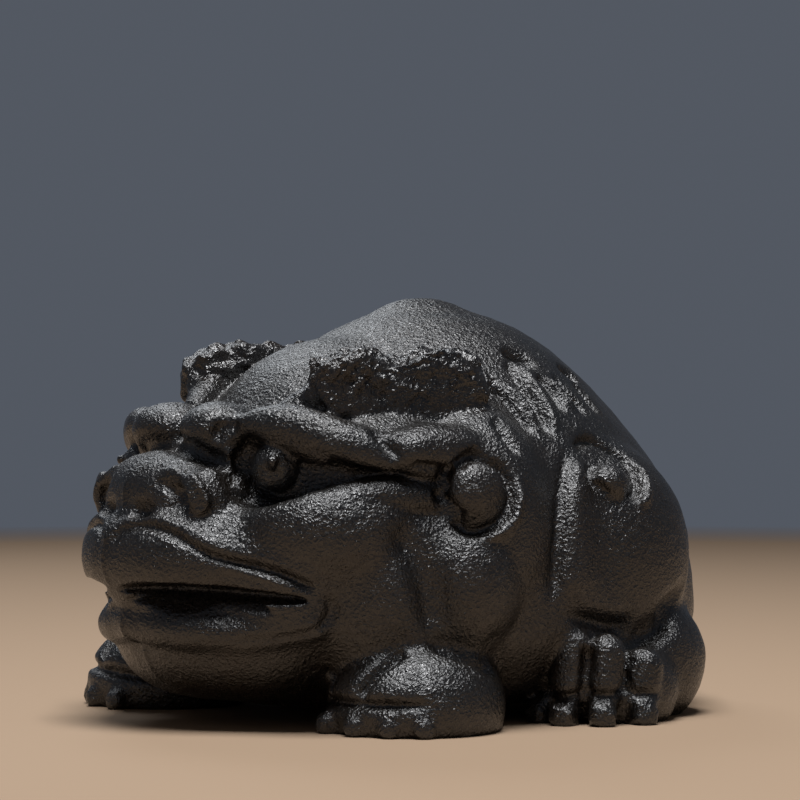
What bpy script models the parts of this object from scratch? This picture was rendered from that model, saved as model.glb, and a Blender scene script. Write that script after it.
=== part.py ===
"""Tea pet: a crouching, toad-faced guardian beast, made as one solid piece of black unglazed clay.

It faces -Y and stands on +Z up, with its origin under the middle of its box. Lumps of clay are
fused in three steps, from the trunk to the eyes, and each step softens its own joins. Folds,
feathers and toes are then carved into the skin with strokes, and the soles are cut flat last.
Numbers are millimetres and degrees until the last step. Each feature is given on the left side,
and its twin is made across the middle.
"""

import math
from dataclasses import dataclass

import bmesh
import bpy
import numpy as np
from mathutils import Euler, Matrix, Vector, noise
from mathutils.bvhtree import BVHTree

MM = 0.001
NAME = "tea_pet"


@dataclass(frozen=True)
class Lump:
    """An egg of clay: its centre and half sizes in mm, and its turn about X, Y and Z in degrees."""

    centre: tuple
    radii: tuple
    turn: tuple = (0.0, 0.0, 0.0)

    def matrix(self, side=1, shift=(0, 0, 0)):
        """Where a unit ball goes to become this lump. Side -1 gives the twin across the middle."""
        turn = Euler([math.radians(a) for a in self.turn]).to_matrix().to_4x4()
        moved = Vector(self.centre) + Vector(shift)
        placed = Matrix.Translation(moved) @ turn @ Matrix.Diagonal((*self.radii, 1))
        return Matrix.Diagonal((side, 1, 1, 1)) @ placed


@dataclass(frozen=True)
class Roll:
    """A tapered roll of clay through a few points, each (x, y, z, radius) in mm."""

    points: tuple


@dataclass(frozen=True)
class Stroke:
    """A mark along a curve on the skin. Each point is (x, y, z, half width, press) in mm.

    A press above 0 sinks a groove and one below 0 raises a rib. Step raises the skin on the
    stroke's left, seen from outside, and the rise fades away over fall.
    """

    points: tuple
    step: float = 0.0
    fall: float = 4.0
    fade: float = 0.22


@dataclass(frozen=True)
class Ring:
    """A mark along an arc about a point of the skin. Angles run clockwise from the top."""

    centre: tuple
    out: tuple
    radius: float
    start: float
    end: float
    half_width: float
    press: float
    stretch: float = 1.0

    def stroke(self):
        out = Vector(self.out).normalized()
        side = out.cross(Vector((0, 0, 1))).normalized()
        up = side.cross(out)
        points = []
        for k in range(9):
            angle = math.radians(self.start + (self.end - self.start) * k / 8)
            spot = Vector(self.centre) - side * (self.radius * math.sin(angle))
            spot += up * (self.radius * self.stretch * math.cos(angle))
            points.append((*spot, self.half_width, self.press))
        return Stroke(tuple(points), fade=0.0 if abs(self.end - self.start) >= 360 else 0.3)


# Trunk and head, the first clay
TRUNK = Lump((0, 8, 14), (31.5, 35.2, 39.2))
RIDGE_TAPER = 0.07
RIDGE_LEAN = 2.6
BELLY_TUCK = 0.24
HUMP = Lump((0, 4.5, 45.5), (9, 11, 8.9))
NECK = Lump((0, -8, 30), (19, 20, 19.0))
HEAD = Lump((0, -15, 22), (26.5, 22, 19.5))
MUZZLE = Lump((0, -27, 21.0), (18.4, 17.7, 10.6))
MOUTH_CORNER = Lump((14, -22, 17.5), (10, 13, 10))
CHEEK = Lump((14.5, -21, 24.5), (12, 13, 10))
JOWL = Lump((17.5, -14, 17), (12.5, 13, 14))
CHIN = Lump((0, -24, 11), (19, 15, 9.5))
SHOULDER = Lump((20.2, -4.4, 24), (12, 11, 16.6))
HAUNCH = Lump((19.5, 16.3, 20.6), (12.9, 14.2, 15.4))
BELLY_CLEARANCE = 2.0

# Limbs, brows and nose, the second clay
FORE_FOOT = Lump((23.8, -14.6, 3.2), (11.0, 11.0, 8.3))
UPPER_ARM = Lump((24.9, -8.8, 17.8), (7.9, 8.2, 9.3))
FORE_HEEL = Lump((24.5, -10.5, 3), (7.5, 7.5, 8))
HOCK = Lump((20.2, 20.2, 7), (12, 12.6, 10.5))
HIND_FOOT = Lump((26.8, 14.6, 4.0), (8.4, 8.6, 7.4))
BROW_INNER = Lump((5.5, -31.0, 36.7), (5.4, 5.2, 3.6))
HORN_BED = Lump((18.4, -14.5, 34.6), (6.4, 10.5, 4.6))
BROW_OUTER = Roll((
    (9.6, -31.4, 34.0, 2.3), (12.0, -30.6, 36.4, 2.6), (16.2, -28.2, 37.2, 2.8),
    (20.6, -24.8, 36.0, 2.8), (22.9, -22.2, 34.8, 2.1)))
UPPER_LIP = Roll((
    (0, -41.8, 20.6, 2.2), (8, -38.4, 20.2, 2.1), (15, -33.0, 18.8, 2.0), (20.6, -28.0, 17.4, 1.8)))
LOWER_LIP = Roll((
    (0, -38.9, 12.8, 2.3), (8, -37.2, 12.2, 2.4), (15, -32.4, 12.2, 2.3), (20.6, -27.6, 13.4, 2.1)))
NOSE = Lump((0, -33.6, 27.8), (11.6, 8.2, 5.8))
NOSE_TIP = Lump((0, -36.8, 28.4), (6.6, 5.2, 4.4))
NOSE_WING = Lump((7.2, -35.2, 28.0), (3.8, 4.4, 4.0))
EAR = Lump((25.2, -12.6, 34.0), (4.2, 8.6, 3.6))
TAIL = Roll((
    (0, 41.0, 5, 2.2), (2.5, 42.0, 13, 2.7), (4.0, 40.8, 21, 2.8), (2.0, 38.2, 28, 2.6),
    (-3.0, 37.4, 30.5, 2.0), (-5.2, 39.2, 26.5, 1.5)))

# Eyes, horns, bosses, toes and claws, the third clay
EYEBALL = Lump((15.3, -29.5, 32.3), (3.0, 3.0, 2.95))
GAZE = (0.74, -0.66, 0.12)
PUPIL_BEAD = 1.1
HORN_ROOT = Roll(((12, -27.2, 37.9, 1.6), (14.2, -24.4, 39.4, 2.3), (16.2, -21.5, 41.2, 3.0)))
HORN_FRONT = Lump((17.2, -19.4, 41.8), (4.5, 6.2, 4.7))
HORN_BACK = Lump((19.6, -8.4, 41.4), (4.9, 8.8, 5.5))
HORN_BUMPS = (Lump(
    (15.4, -17.2, 44.4), (3.4, 3.6, 2.7)), Lump((18.0, -5.5, 44.0),
    (4.2, 4.4, 3.1)), Lump((20.4, -5.2, 40.2), (4.4, 5.0, 3.6)))
HORN_END = -3.0
HORN_FAR_SHIFT = (-1.6, 1.0, 1.5)
SHOULDER_BOSS = Lump((28.0, -8.9, 29.2), (3.8, 4.5, 4.4))
HAUNCH_BOSS = Lump((28.3, 12.4, 29.8), (2.8, 3.0, 2.6))

SHARP_EDGE = 50.0
FORE_CLAWS = ((20.2, -24.8), (25.4, -24.6), (29.4, -22.6), (32.2, -19.8))
FAR_FOOT_SHIFT = (1.8, -4.0, 0.0)
HIND_TOES = ((25.4, 5.8, 7.8), (29.6, 5.0, 9.6), (32.6, 7.9, 8.8), (33.9, 12.9, 7.0))
HIND_CLAWS = ((25.2, 4.4), (29.9, 4.1), (33.5, 7.2), (34.8, 12.6))
HIND_TOE_RADIUS = 2.6
CLAW = Lump((0, 0, 1.2), (1.5, 1.8, 1.6))

# The mouth, a lens that is bent round the muzzle
MOUTH = Lump((0, -41.6, 17.3), (22.6, 6.2, 1.2))
LIP_SLOPE = Lump((0, -42.2, 15.4), (19.5, 5.2, 1.5), (30, 0, 0))
MOUTH_PINCH = 0.45
MOUTH_PINCH_WIDTH = 9.0
MOUTH_SHALLOW = 4.6
MOUTH_BEND = 0.0265
MOUTH_SAG = 0.0022

FOLDS = (
    # Eye socket, a broad hollow under the brow that narrows to a groove at the brow's tail
    Stroke((
        (9.0, -34.2, 32.2, 1.6, 0.8), (12.4, -33.4, 32.4, 2.8, 2.0), (16.5, -31.4, 32.4, 3.4, 2.6),
        (20.4, -28.2, 31.8, 2.6, 2.2), (23.6, -23.4, 30.8, 1.4, 1.7),
        (26.3, -15.5, 30.4, 1.0, 1.2))),
    # Lower half of the socket, under the eyeball
    Stroke((
        (11.0, -34.0, 30.2, 1.2, 0.6), (14.6, -32.6, 28.8, 1.6, 1.2), (18.4, -30.6, 29.0, 1.6, 1.1),
        (21.4, -28.0, 30.0, 1.3, 0.7))),
    # Valley between the nose and the brows
    Stroke((
        (0, -35.0, 34.6, 1.5, 0.7), (4, -34.8, 34.2, 1.6, 0.9), (8, -34.2, 33.0, 1.6, 0.9),
        (10.5, -33.6, 31.8, 1.4, 0.6)), fade=0.04),
    # Neck crease between the jowl and the upper arm
    Stroke((
        (25.5, -20.0, 26.0, 2.0, 0.6), (28.5, -17.6, 20.5, 2.8, 1.2), (29.3, -16.4, 14.6, 2.6, 1.2),
        (28.0, -17, 10.5, 2.0, 0.7))),
    # Upper arm, folded down on the foot
    Stroke((
        (26.8, -17.4, 11.2, 1.2, 0.6), (30.0, -14.0, 10.4, 1.3, 1.1), (31.8, -8.6, 9.2, 1.3, 1.3),
        (31.2, -4.4, 10.0, 1.2, 0.8)), fade=0.3),
    # Front edge of the haunch, the haunch standing out of the flank
    Stroke((
        (26.2, 8.4, 34.4, 1.0, 0.6), (28.2, 5.6, 30.4, 1.2, 0.7), (29.4, 4.0, 26.6, 1.4, 0.7),
        (30.5, 2.8, 21, 1.8, 0.8), (30.8, 2.2, 15, 2.0, 0.7)), step=1.0, fall=8.0, fade=0.16),
    # Fold of the haunch over the hind foot
    Stroke((
        (29.6, 1.5, 14.4, 1.2, 0.5), (31.0, 6, 13.2, 1.4, 1.2), (32.0, 12, 11.6, 1.6, 1.4),
        (31.8, 18, 11.6, 1.7, 1.4), (31, 22.5, 14.6, 1.6, 1.2), (29.4, 26.5, 18.0, 1.3, 0.6))),
)

MARKS = (
    # Upper lip: the cheek stands a little over it in a long bow
    Stroke((
        (0.9, -43.3, 22.0, 0.6, 0.4), (2.2, -42.6, 24.0, 0.7, 0.7), (5.0, -41.8, 24.9, 0.7, 0.8),
        (9, -40, 23.8, 0.7, 0.8), (13.8, -37.4, 21.6, 0.7, 0.7), (19.9, -32, 19.6, 0.8, 0.7),
        (22.8, -28.2, 17.6, 0.8, 0.7)), step=0.4, fall=3.0, fade=0.07),
    # Lit rim of the upper lip toward the corner
    Stroke((
        (13.5, -37.4, 20.6, 0.6, -0.2), (18.0, -33.6, 19.2, 0.7, -0.4),
        (21.6, -29.6, 17.6, 0.7, -0.25))),
    # Fold round the corner of the mouth and along the lower lip
    Stroke((
        (22.8, -28.2, 17.4, 0.9, 0.5), (23.8, -26.8, 15.2, 1.0, 0.6), (22.8, -27.4, 13.2, 0.9, 0.5),
        (19.5, -30.6, 11.8, 0.8, 0.4), (13.5, -35.6, 11.4, 0.8, 0.3)), fade=0.16),
    # Brow: a line between the inner lobe and the outer brow
    Stroke((
        (12.0, -33.5, 39.0, 0.9, 0.3), (10.6, -34.8, 36.6, 1.1, 0.9), (9.6, -34.8, 34.0, 1.0, 0.7))),
    # Nose: curl of the wing, and the nostril inside it
    Stroke((
        (4.5, -39, 32.0, 0.9, -0.3), (8.6, -38, 30.6, 1.0, -0.6), (10.0, -37.0, 28.2, 1.0, -0.7),
        (8.6, -38.0, 26.0, 0.9, -0.3))),
    Stroke((
        (4.6, -40.2, 30.2, 0.8, 0.3), (7.2, -39.4, 29.6, 0.9, 0.6), (8.2, -38.8, 28.0, 0.9, 0.6),
        (7.2, -39.6, 26.8, 0.8, 0.3))),
    Stroke(((1.8, -41.6, 26.6, 1.1, 0.6), (3.8, -41.2, 26.6, 1.3, 0.9), (5.8, -40.4, 26.6, 1.1, 0.5))),
    # Ear: the groove under its lobe, and the line that parts it from the brow
    Stroke(((27.4, -18.5, 32.6, 0.8, 0.5), (28, -15.5, 32.2, 0.9, 0.9), (27.4, -12, 32.3, 0.8, 0.6))),
    Stroke((
        (24.0, -21.5, 37.0, 0.9, 0.4), (26.2, -20.6, 34.8, 1.0, 1.0),
        (27.0, -19.2, 32.8, 0.8, 0.5))),
    # Feathers on the back: two hooked pits, the grooves that hang from them and the ribs between
    Stroke((
        (15.4, 5.2, 46.3, 1.0, 0.9), (16.0, 7.2, 46.2, 1.2, 1.3), (17.0, 8.7, 45.5, 1.1, 1.2),
        (18.4, 9.0, 44.5, 0.9, 0.7))),
    Stroke((
        (15.4, 14.6, 44.6, 0.9, 0.7), (15.2, 16.8, 43.9, 1.1, 1.2), (16.2, 18.4, 43.0, 0.75, 0.75))),
    Stroke((
        (19.6, 0.6, 43.2, 0.8, 0.5), (21.6, 1.8, 40.6, 0.75, 0.75), (23.9, 2.6, 38.2, 0.75, 0.75),
        (26.0, 3.3, 36.0, 0.8, 0.5))),
    Stroke((
        (15.6, 5.6, 45.8, 0.7, 0.7), (18.4, 5.2, 43.4, 0.75, 0.85), (21.0, 5.6, 41.0, 0.75, 0.85),
        (23.4, 6.0, 38.6, 0.75, 0.8), (26.2, 5.8, 35.2, 0.8, 0.5))),
    Stroke((
        (18.4, 9.0, 44.3, 0.7, 0.7), (19.6, 9.9, 42.2, 0.7, 0.75), (21.0, 10.3, 40.2, 0.7, 0.7),
        (22.8, 10.2, 38.4, 0.7, 0.5))),
    Stroke((
        (17.6, 12.2, 44.0, 0.8, 0.6), (19.6, 12.9, 42.0, 0.7, 0.7), (20.8, 14.2, 40.1, 0.7, 0.7),
        (22.4, 14.6, 38.2, 0.7, 0.5))),
    Stroke(((16.8, 16.2, 43.3, 0.7, 0.6), (19.0, 17.4, 41.0, 0.8, 0.7), (20.6, 18.4, 38.7, 0.7, 0.5))),
    Stroke(((26.0, -4.2, 38.9, 0.9, 0.5), (28.6, -3.7, 36.0, 1.0, 0.8), (30.2, -2.8, 33.4, 0.9, 0.5))),
    Stroke(((20.2, 2.4, 42.8, 0.7, -0.4), (21.8, 3.8, 40.8, 0.8, -0.5), (24.8, 4.7, 37.6, 0.7, -0.4))),
    Stroke((
        (16.8, 7.2, 45.0, 0.7, -0.5), (19.8, 7.2, 42.9, 0.8, -0.6), (22.8, 7.6, 39.6, 0.8, -0.6),
        (25.8, 7.2, 36.0, 0.7, -0.4))),
    Stroke((
        (18.6, 10.8, 43.6, 0.6, -0.4), (20.9, 12.0, 41.3, 0.7, -0.5),
        (22.4, 12.8, 39.4, 0.6, -0.4))),
    # Haunch: a groove over its head that turns in to a hook, and the rim outside it
    Stroke((
        (26.2, 9.0, 34.6, 0.8, 0.8), (25.2, 11.8, 35.7, 0.8, 0.9), (25.0, 13.8, 35.6, 0.8, 0.9),
        (26.6, 16.6, 33.8, 0.8, 1.0), (29.2, 17.0, 31.8, 0.8, 1.0), (31.0, 15.8, 29.6, 0.8, 1.0),
        (31.5, 13.6, 28.4, 0.7, 0.6)), fade=0.1),
    Stroke((
        (27.2, 18.2, 33.0, 0.7, -0.4), (29.8, 18.4, 30.8, 0.8, -0.6), (31.6, 17.0, 28.4, 0.8, -0.6),
        (32.0, 14.6, 27.0, 0.7, -0.3))),
    # Toes of the fore foot: two grooves down its dome and a ledge over the claws
    Stroke((
        (18.2, -20.0, 9.4, 0.8, 0.6), (18.7, -23.2, 7.2, 0.9, 1.2),
        (19.0, -25.2, 4.4, 0.9, 1.0)), fade=0.15),
    Stroke((
        (28.2, -19.0, 10.2, 0.8, 0.6), (27.4, -22.2, 8.6, 0.9, 1.2), (26.6, -24.4, 6.6, 0.9, 1.3),
        (26.2, -25.6, 4.2, 0.9, 1.0)), fade=0.15),
    Stroke((
        (15.0, -23.6, 4.1, 0.7, 0.8), (20.5, -25.6, 4.0, 0.8, 1.0), (26.0, -25.6, 4.0, 0.8, 1.0),
        (30.8, -23.2, 4.0, 0.8, 0.9), (34.2, -18.6, 4.0, 0.7, 0.4)), fade=0.12),
    # Toes of the hind foot: two grooves between them and a ledge over the claws
    Stroke((
        (30.2, 8.4, 11.6, 0.7, 0.5), (31.0, 6.9, 8.0, 0.8, 0.9),
        (31.2, 6.4, 3.8, 0.7, 0.7)), fade=0.12),
    Stroke((
        (33.0, 11.8, 10.2, 0.7, 0.5), (34.1, 10.5, 7.2, 0.8, 0.9),
        (34.5, 10.1, 3.6, 0.7, 0.7)), fade=0.12),
    Stroke((
        (22.5, 5.8, 4.0, 0.7, 0.4), (28.4, 3.8, 4.0, 0.8, 0.7), (33.4, 6.4, 4.0, 0.8, 0.7),
        (36.0, 11.8, 3.9, 0.8, 0.7), (35.8, 16.4, 3.8, 0.7, 0.3)), fade=0.12),
)

RINGS = (
    Ring((17.5, -31.5, 32.6), (0.74, -0.66, 0.12), 1.75, 0, 360, 0.55, 0.45),
    Ring((30.2, -9.8, 29.3), (0.86, -0.45, 0.24), 4.7, 0, 360, 0.8, 0.9),
    Ring((30.2, -9.8, 29.3), (0.86, -0.45, 0.24), 5.9, 60, 190, 0.9, -0.7),
    Ring((29.7, 12.2, 30.6), (0.84, -0.02, 0.54), 3.1, 170, 350, 0.7, 0.6),
)

CARVING_DEPTH = 1.35
VOXEL_TRUNK = 0.9
VOXEL_LIMBS = 0.7
VOXEL_FACE = 0.5
TRIANGLES = 11500


def ease(t):
    t = np.clip(t, 0, 1)
    return t * t * (3 - 2 * t)


def unit_ball(name, segments, rings):
    """A mesh of a ball of radius 1, to be copied into the clay."""
    ball = bmesh.new()
    bmesh.ops.create_uvsphere(ball, u_segments=segments, v_segments=rings, radius=1)
    mesh = bpy.data.meshes.new(name)
    ball.to_mesh(mesh)
    ball.free()
    return mesh


def rough_ball():
    """A coarse, chipped ball, for the horns."""
    ball = bmesh.new()
    bmesh.ops.create_icosphere(ball, subdivisions=3, radius=1)
    for vertex in ball.verts:
        longest = max(abs(c) for c in vertex.co)
        vertex.co *= longest**-0.4 * (0.94 + 0.26 * noise.noise(vertex.co * 2.6 + Vector((3, 1, 2))))
    mesh = bpy.data.meshes.new("rough")
    ball.to_mesh(mesh)
    ball.free()
    return mesh


def add_ball(clay, ball, matrix):
    before = len(clay.verts)
    clay.from_mesh(ball)
    clay.verts.ensure_lookup_table()
    added = clay.verts[before:]
    bmesh.ops.transform(clay, matrix=matrix, verts=added)
    return added


def clay_ball(clay, lump, sides=(1, -1)):
    """Adds a lump to a bmesh, and its twin across the middle if it is off centre."""
    ball = unit_ball("lump", 40, 24)
    added = []
    for side in sides if lump.centre[0] else (1,):
        added += add_ball(clay, ball, lump.matrix(side))
    return added


def smooth_path(points, step):
    """Points along a smooth curve through the given ones (any number of columns), step mm apart."""
    knots = np.array(points, float)
    if len(knots) == 2:
        tangents = np.array([knots[1] - knots[0]] * 2)
    else:
        inner = (knots[2:] - knots[:-2]) / 2
        tangents = np.vstack([knots[1] - knots[0], inner, knots[-1] - knots[-2]])
    path = []
    for k in range(len(knots) - 1):
        length = np.linalg.norm((knots[k + 1] - knots[k])[:3])
        count = max(1, math.ceil(length / step))
        t = (np.arange(count) / count)[:, None]
        path.append(
            (2 * t**3 - 3 * t**2 + 1) * knots[k]
            + (t**3 - 2 * t**2 + t) * tangents[k]
            + (3 * t**2 - 2 * t**3) * knots[k + 1]
            + (t**3 - t**2) * tangents[k + 1]
        )
    return np.vstack([*path, knots[-1:]])


def clay_roll(clay, roll, sides=(1, -1), shift=(0, 0, 0)):
    ball = unit_ball("bead", 14, 10)
    thinnest = min(p[3] for p in roll.points)
    for x, y, z, radius in smooth_path(roll.points, 0.4 * thinnest):
        for side in sides:
            spot = Vector((side * (x + shift[0]), y + shift[1], z + shift[2]))
            add_ball(clay, ball, Matrix.Translation(spot) @ Matrix.Scale(radius, 4))


def mesh_of(clay, name, skin=None):
    """The clay as a mesh, with the skin it is pressed on, if there is one."""
    bmesh.ops.recalc_face_normals(clay, faces=clay.faces)
    if skin:
        clay.from_mesh(skin)
    mesh = bpy.data.meshes.new(name)
    clay.to_mesh(mesh)
    clay.free()
    return mesh


def as_evaluated(body):
    """The object's mesh with its modifiers applied. The object goes."""
    graph = bpy.context.evaluated_depsgraph_get()
    mesh = bpy.data.meshes.new_from_object(body.evaluated_get(graph))
    bpy.data.objects.remove(body)
    return mesh


def new_body(mesh):
    body = bpy.data.objects.new(mesh.name, mesh)
    bpy.context.scene.collection.objects.link(body)
    return body


def fuse(mesh, voxel, soften):
    """Fuses overlapping lumps into one skin, and softens it over about soften millimetres."""
    body = new_body(mesh)
    remesh = body.modifiers.new("Fuse", "REMESH")
    remesh.mode = "VOXEL"
    remesh.voxel_size = voxel
    smooth = body.modifiers.new("Soften", "SMOOTH")
    smooth.factor = 0.5
    smooth.iterations = max(1, round(4 * (soften / voxel) ** 2))
    return as_evaluated(body)


def points_of(mesh):
    flat = np.empty(len(mesh.vertices) * 3)
    mesh.vertices.foreach_get("co", flat)
    return flat.reshape(-1, 3)


def normals_of(mesh):
    flat = np.empty(len(mesh.vertices) * 3)
    mesh.vertex_normals.foreach_get("vector", flat)
    return flat.reshape(-1, 3)


def move_points(mesh, points):
    mesh.vertices.foreach_set("co", points.ravel())
    mesh.update()


def carve(mesh, strokes):
    """Moves the skin along its normals, by the profile of each stroke and of its twin."""
    points = points_of(mesh)
    normals = normals_of(mesh)
    tree = BVHTree.FromPolygons(
        [tuple(p) for p in points], [tuple(f.vertices) for f in mesh.polygons]
    )
    rise = np.zeros(len(points))
    for stroke in strokes:
        for side in (1, -1):
            given = np.array(stroke.points, float)
            given[:, 0] *= side
            path = smooth_path(given, 0.35)
            landed = [tree.find_nearest(Vector(p)) for p in path[:, :3]]
            line = np.array([spot[0] for spot in landed])
            out = np.array([spot[1] for spot in landed])
            ahead = np.gradient(line, axis=0)
            left = side * np.cross(out, ahead)
            left /= np.linalg.norm(left, axis=1)[:, None] + 1e-9
            travelled = np.concatenate([[0], np.cumsum(np.linalg.norm(np.diff(line, axis=0), axis=1))])
            part = travelled / travelled[-1]
            fading = np.ones(len(path))
            if stroke.fade:
                fading = ease(np.minimum(part, 1 - part) / stroke.fade)
            reach = max(1.9 * path[:, 3].max(), stroke.fall if stroke.step else 0)
            inside = (points > line.min(axis=0) - reach) & (points < line.max(axis=0) + reach)
            near = np.flatnonzero(inside.all(axis=1))
            offsets = points[near][:, None, :] - line[None, :, :]
            distances = np.linalg.norm(offsets, axis=2)
            closest = distances.argmin(axis=1)
            rows = np.arange(len(near))
            distance = distances[rows, closest]
            facing = (normals[near] * out[closest]).sum(axis=1) > 0.1
            spread = distance / path[closest, 3]
            amount = -path[closest, 4] * np.where(spread < 1.9, np.exp(-1.6 * spread**2), 0)
            if stroke.step:
                sided = (offsets[rows, closest] * left[closest]).sum(axis=1)
                over = ease(0.5 + sided / (0.8 * path[closest, 3]))
                amount += stroke.step * over * ease(1 - distance / stroke.fall)
            rise[near] += np.where(facing, CARVING_DEPTH * amount * fading[closest], 0)
    move_points(mesh, points + normals * rise[:, None])


def lift_belly(mesh):
    """Presses everything below the belly's clearance up into a gently flat underside."""
    points = points_of(mesh)
    soft = 2.5
    low = points[:, 2] < BELLY_CLEARANCE + soft
    drop = (points[low, 2] - BELLY_CLEARANCE - soft) / soft
    points[low, 2] = BELLY_CLEARANCE + soft * np.exp(drop)
    move_points(mesh, points)


def cut_mouth(skin):
    lens = bmesh.new()
    for lump in (MOUTH, LIP_SLOPE):
        for vertex in clay_ball(lens, lump):
            middle = 1 - float(ease(abs(vertex.co.x) / MOUTH_PINCH_WIDTH))
            vertex.co.z += (lump.centre[2] - vertex.co.z) * MOUTH_PINCH * middle
            vertex.co.y -= MOUTH_SHALLOW * middle
            vertex.co.z -= MOUTH_SAG * vertex.co.x**2
            vertex.co.y += MOUTH_BEND * vertex.co.x**2
    cutter = new_body(mesh_of(lens, "mouth_cutter"))
    body = new_body(skin)
    cut = body.modifiers.new("Mouth", "BOOLEAN")
    cut.operation = "DIFFERENCE"
    cut.solver = "EXACT"
    cut.use_self = True
    cut.object = cutter
    opened = as_evaluated(body)
    bpy.data.objects.remove(cutter)
    return opened


def trunk():
    clay = bmesh.new()
    for vertex in clay_ball(clay, TRUNK):
        taper = 1 - RIDGE_TAPER * float(ease((vertex.co.z - 27) / 18))
        vertex.co.x *= taper - BELLY_TUCK * float(ease((12 - vertex.co.z) / 12))
        vertex.co.y = TRUNK.centre[1] + (vertex.co.y - TRUNK.centre[1]) * taper
        vertex.co.y -= RIDGE_LEAN * float(ease((vertex.co.z - 12) / 36))
    for lump in (HUMP, NECK, HEAD, MUZZLE, MOUTH_CORNER, CHEEK, JOWL, CHIN, SHOULDER, HAUNCH):
        clay_ball(clay, lump)
    skin = fuse(mesh_of(clay, "trunk"), VOXEL_TRUNK, 1.6)
    lift_belly(skin)
    return skin


def limbs(skin):
    clay = bmesh.new()
    for lump in (UPPER_ARM, HOCK, HIND_FOOT, BROW_INNER, HORN_BED, NOSE, NOSE_TIP, NOSE_WING, EAR):
        clay_ball(clay, lump)
    ball = unit_ball("foot", 40, 24)
    for side, shift in ((1, (0, 0, 0)), (-1, FAR_FOOT_SHIFT)):
        for lump in (FORE_FOOT, FORE_HEEL):
            add_ball(clay, ball, lump.matrix(side, shift))
    for roll in (BROW_OUTER, UPPER_LIP, LOWER_LIP):
        clay_roll(clay, roll)
    clay_roll(clay, TAIL, sides=(1,))
    return fuse(mesh_of(clay, "limbs", skin), VOXEL_LIMBS, 0.7)


def add_eyes(clay):
    clay_ball(clay, EYEBALL)
    gaze = Vector(GAZE).normalized()
    spot = Vector(EYEBALL.centre) + gaze * EYEBALL.radii[0]
    clay_ball(clay, Lump(tuple(spot), (PUPIL_BEAD,) * 3))


def add_horns(clay):
    """Two rough slabs a side, sawn off square behind. The far one sits a little higher."""
    stone = rough_ball()
    for side, shift in ((1, (0, 0, 0)), (-1, HORN_FAR_SHIFT)):
        for lump in (HORN_FRONT, HORN_BACK, *HORN_BUMPS):
            for vertex in add_ball(clay, stone, lump.matrix(side, shift)):
                vertex.co.y = min(vertex.co.y, HORN_END + shift[1])
        clay_roll(clay, HORN_ROOT, sides=(side,), shift=shift)


def claw_matrix(x, y, away, side=1, shift=(0, 0, 0)):
    """Where a unit ball goes to become a claw at x and y that points away from the foot's middle."""
    out = Vector((x - away[0], y - away[1], 0)).normalized()
    turn = math.degrees(math.atan2(out.x, -out.y))
    claw = Lump((x, y, CLAW.centre[2]), CLAW.radii, (0, 0, turn))
    return claw.matrix(side, shift)


def add_toes(clay):
    block = rough_ball()
    for x, y in FORE_CLAWS:
        for side, shift in ((1, (0, 0, 0)), (-1, FAR_FOOT_SHIFT)):
            add_ball(clay, block, claw_matrix(x, y, FORE_FOOT.centre, side, shift))
    for x, y, top in HIND_TOES:
        column = (
            (x, y + 0.8, top, HIND_TOE_RADIUS),
            (x, y + 0.2, 0.5 * top, HIND_TOE_RADIUS),
            (x, y, 4.8, HIND_TOE_RADIUS - 0.3),
        )
        clay_roll(clay, Roll(column))
    for x, y in HIND_CLAWS:
        for side in (1, -1):
            add_ball(clay, block, claw_matrix(x, y, HIND_FOOT.centre, side))


def details(skin):
    clay = bmesh.new()
    add_eyes(clay)
    add_horns(clay)
    add_toes(clay)
    for lump in (SHOULDER_BOSS, HAUNCH_BOSS):
        clay_ball(clay, lump)
    return fuse(mesh_of(clay, "details", skin), VOXEL_FACE, 0.3)


def thin_out(skin, triangles):
    """Fewer triangles, with the most left where the skin bends most."""
    body = new_body(skin)
    faces = sum(len(f.vertices) - 2 for f in skin.polygons)
    fewer = body.modifiers.new("Fewer", "DECIMATE")
    fewer.ratio = triangles / faces
    fewer.use_collapse_triangulate = True
    return as_evaluated(body)


def flat_soles(skin):
    """Cuts the feet off at the floor and closes each with one flat face."""
    clay = bmesh.new()
    clay.from_mesh(skin)
    everything = [*clay.verts, *clay.edges, *clay.faces]
    bmesh.ops.bisect_plane(
        clay, geom=everything, dist=1e-4, plane_co=(0, 0, 0), plane_no=(0, 0, -1), clear_outer=True
    )
    rims = [edge for edge in clay.edges if edge.is_boundary]
    bmesh.ops.holes_fill(clay, edges=rims, sides=0)
    return mesh_of(clay, NAME)


def centre_box(mesh):
    """Moves the mesh so that the middle of its box in plan is at the origin."""
    points = points_of(mesh)
    middle = (points.min(axis=0) + points.max(axis=0)) / 2
    middle[2] = 0
    move_points(mesh, points - middle)


def black_clay():
    clay = bpy.data.materials.new("black_clay")
    clay.use_nodes = True
    shader = clay.node_tree.nodes["Principled BSDF"]
    shader.inputs["Base Color"].default_value = (0.022, 0.020, 0.019, 1)
    shader.inputs["Roughness"].default_value = 0.42
    shader.inputs["Metallic"].default_value = 0.0
    return clay


def main():
    for old in list(bpy.data.objects):
        bpy.data.objects.remove(old)
    skin = limbs(trunk())
    carve(skin, FOLDS)
    skin = details(cut_mouth(skin))
    carve(skin, (*MARKS, *(ring.stroke() for ring in RINGS)))
    skin = fuse(skin, VOXEL_FACE, 0.2)
    skin = flat_soles(thin_out(skin, TRIANGLES))
    centre_box(skin)
    skin.transform(Matrix.Scale(MM, 4))
    parts = bpy.data.collections.new(NAME)
    bpy.context.scene.collection.children.link(parts)
    pet = bpy.data.objects.new(NAME, skin)
    parts.objects.link(pet)
    skin.materials.append(black_clay())
    skin.shade_smooth()
    skin.set_sharp_from_angle(angle=math.radians(SHARP_EDGE))


main()
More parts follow.
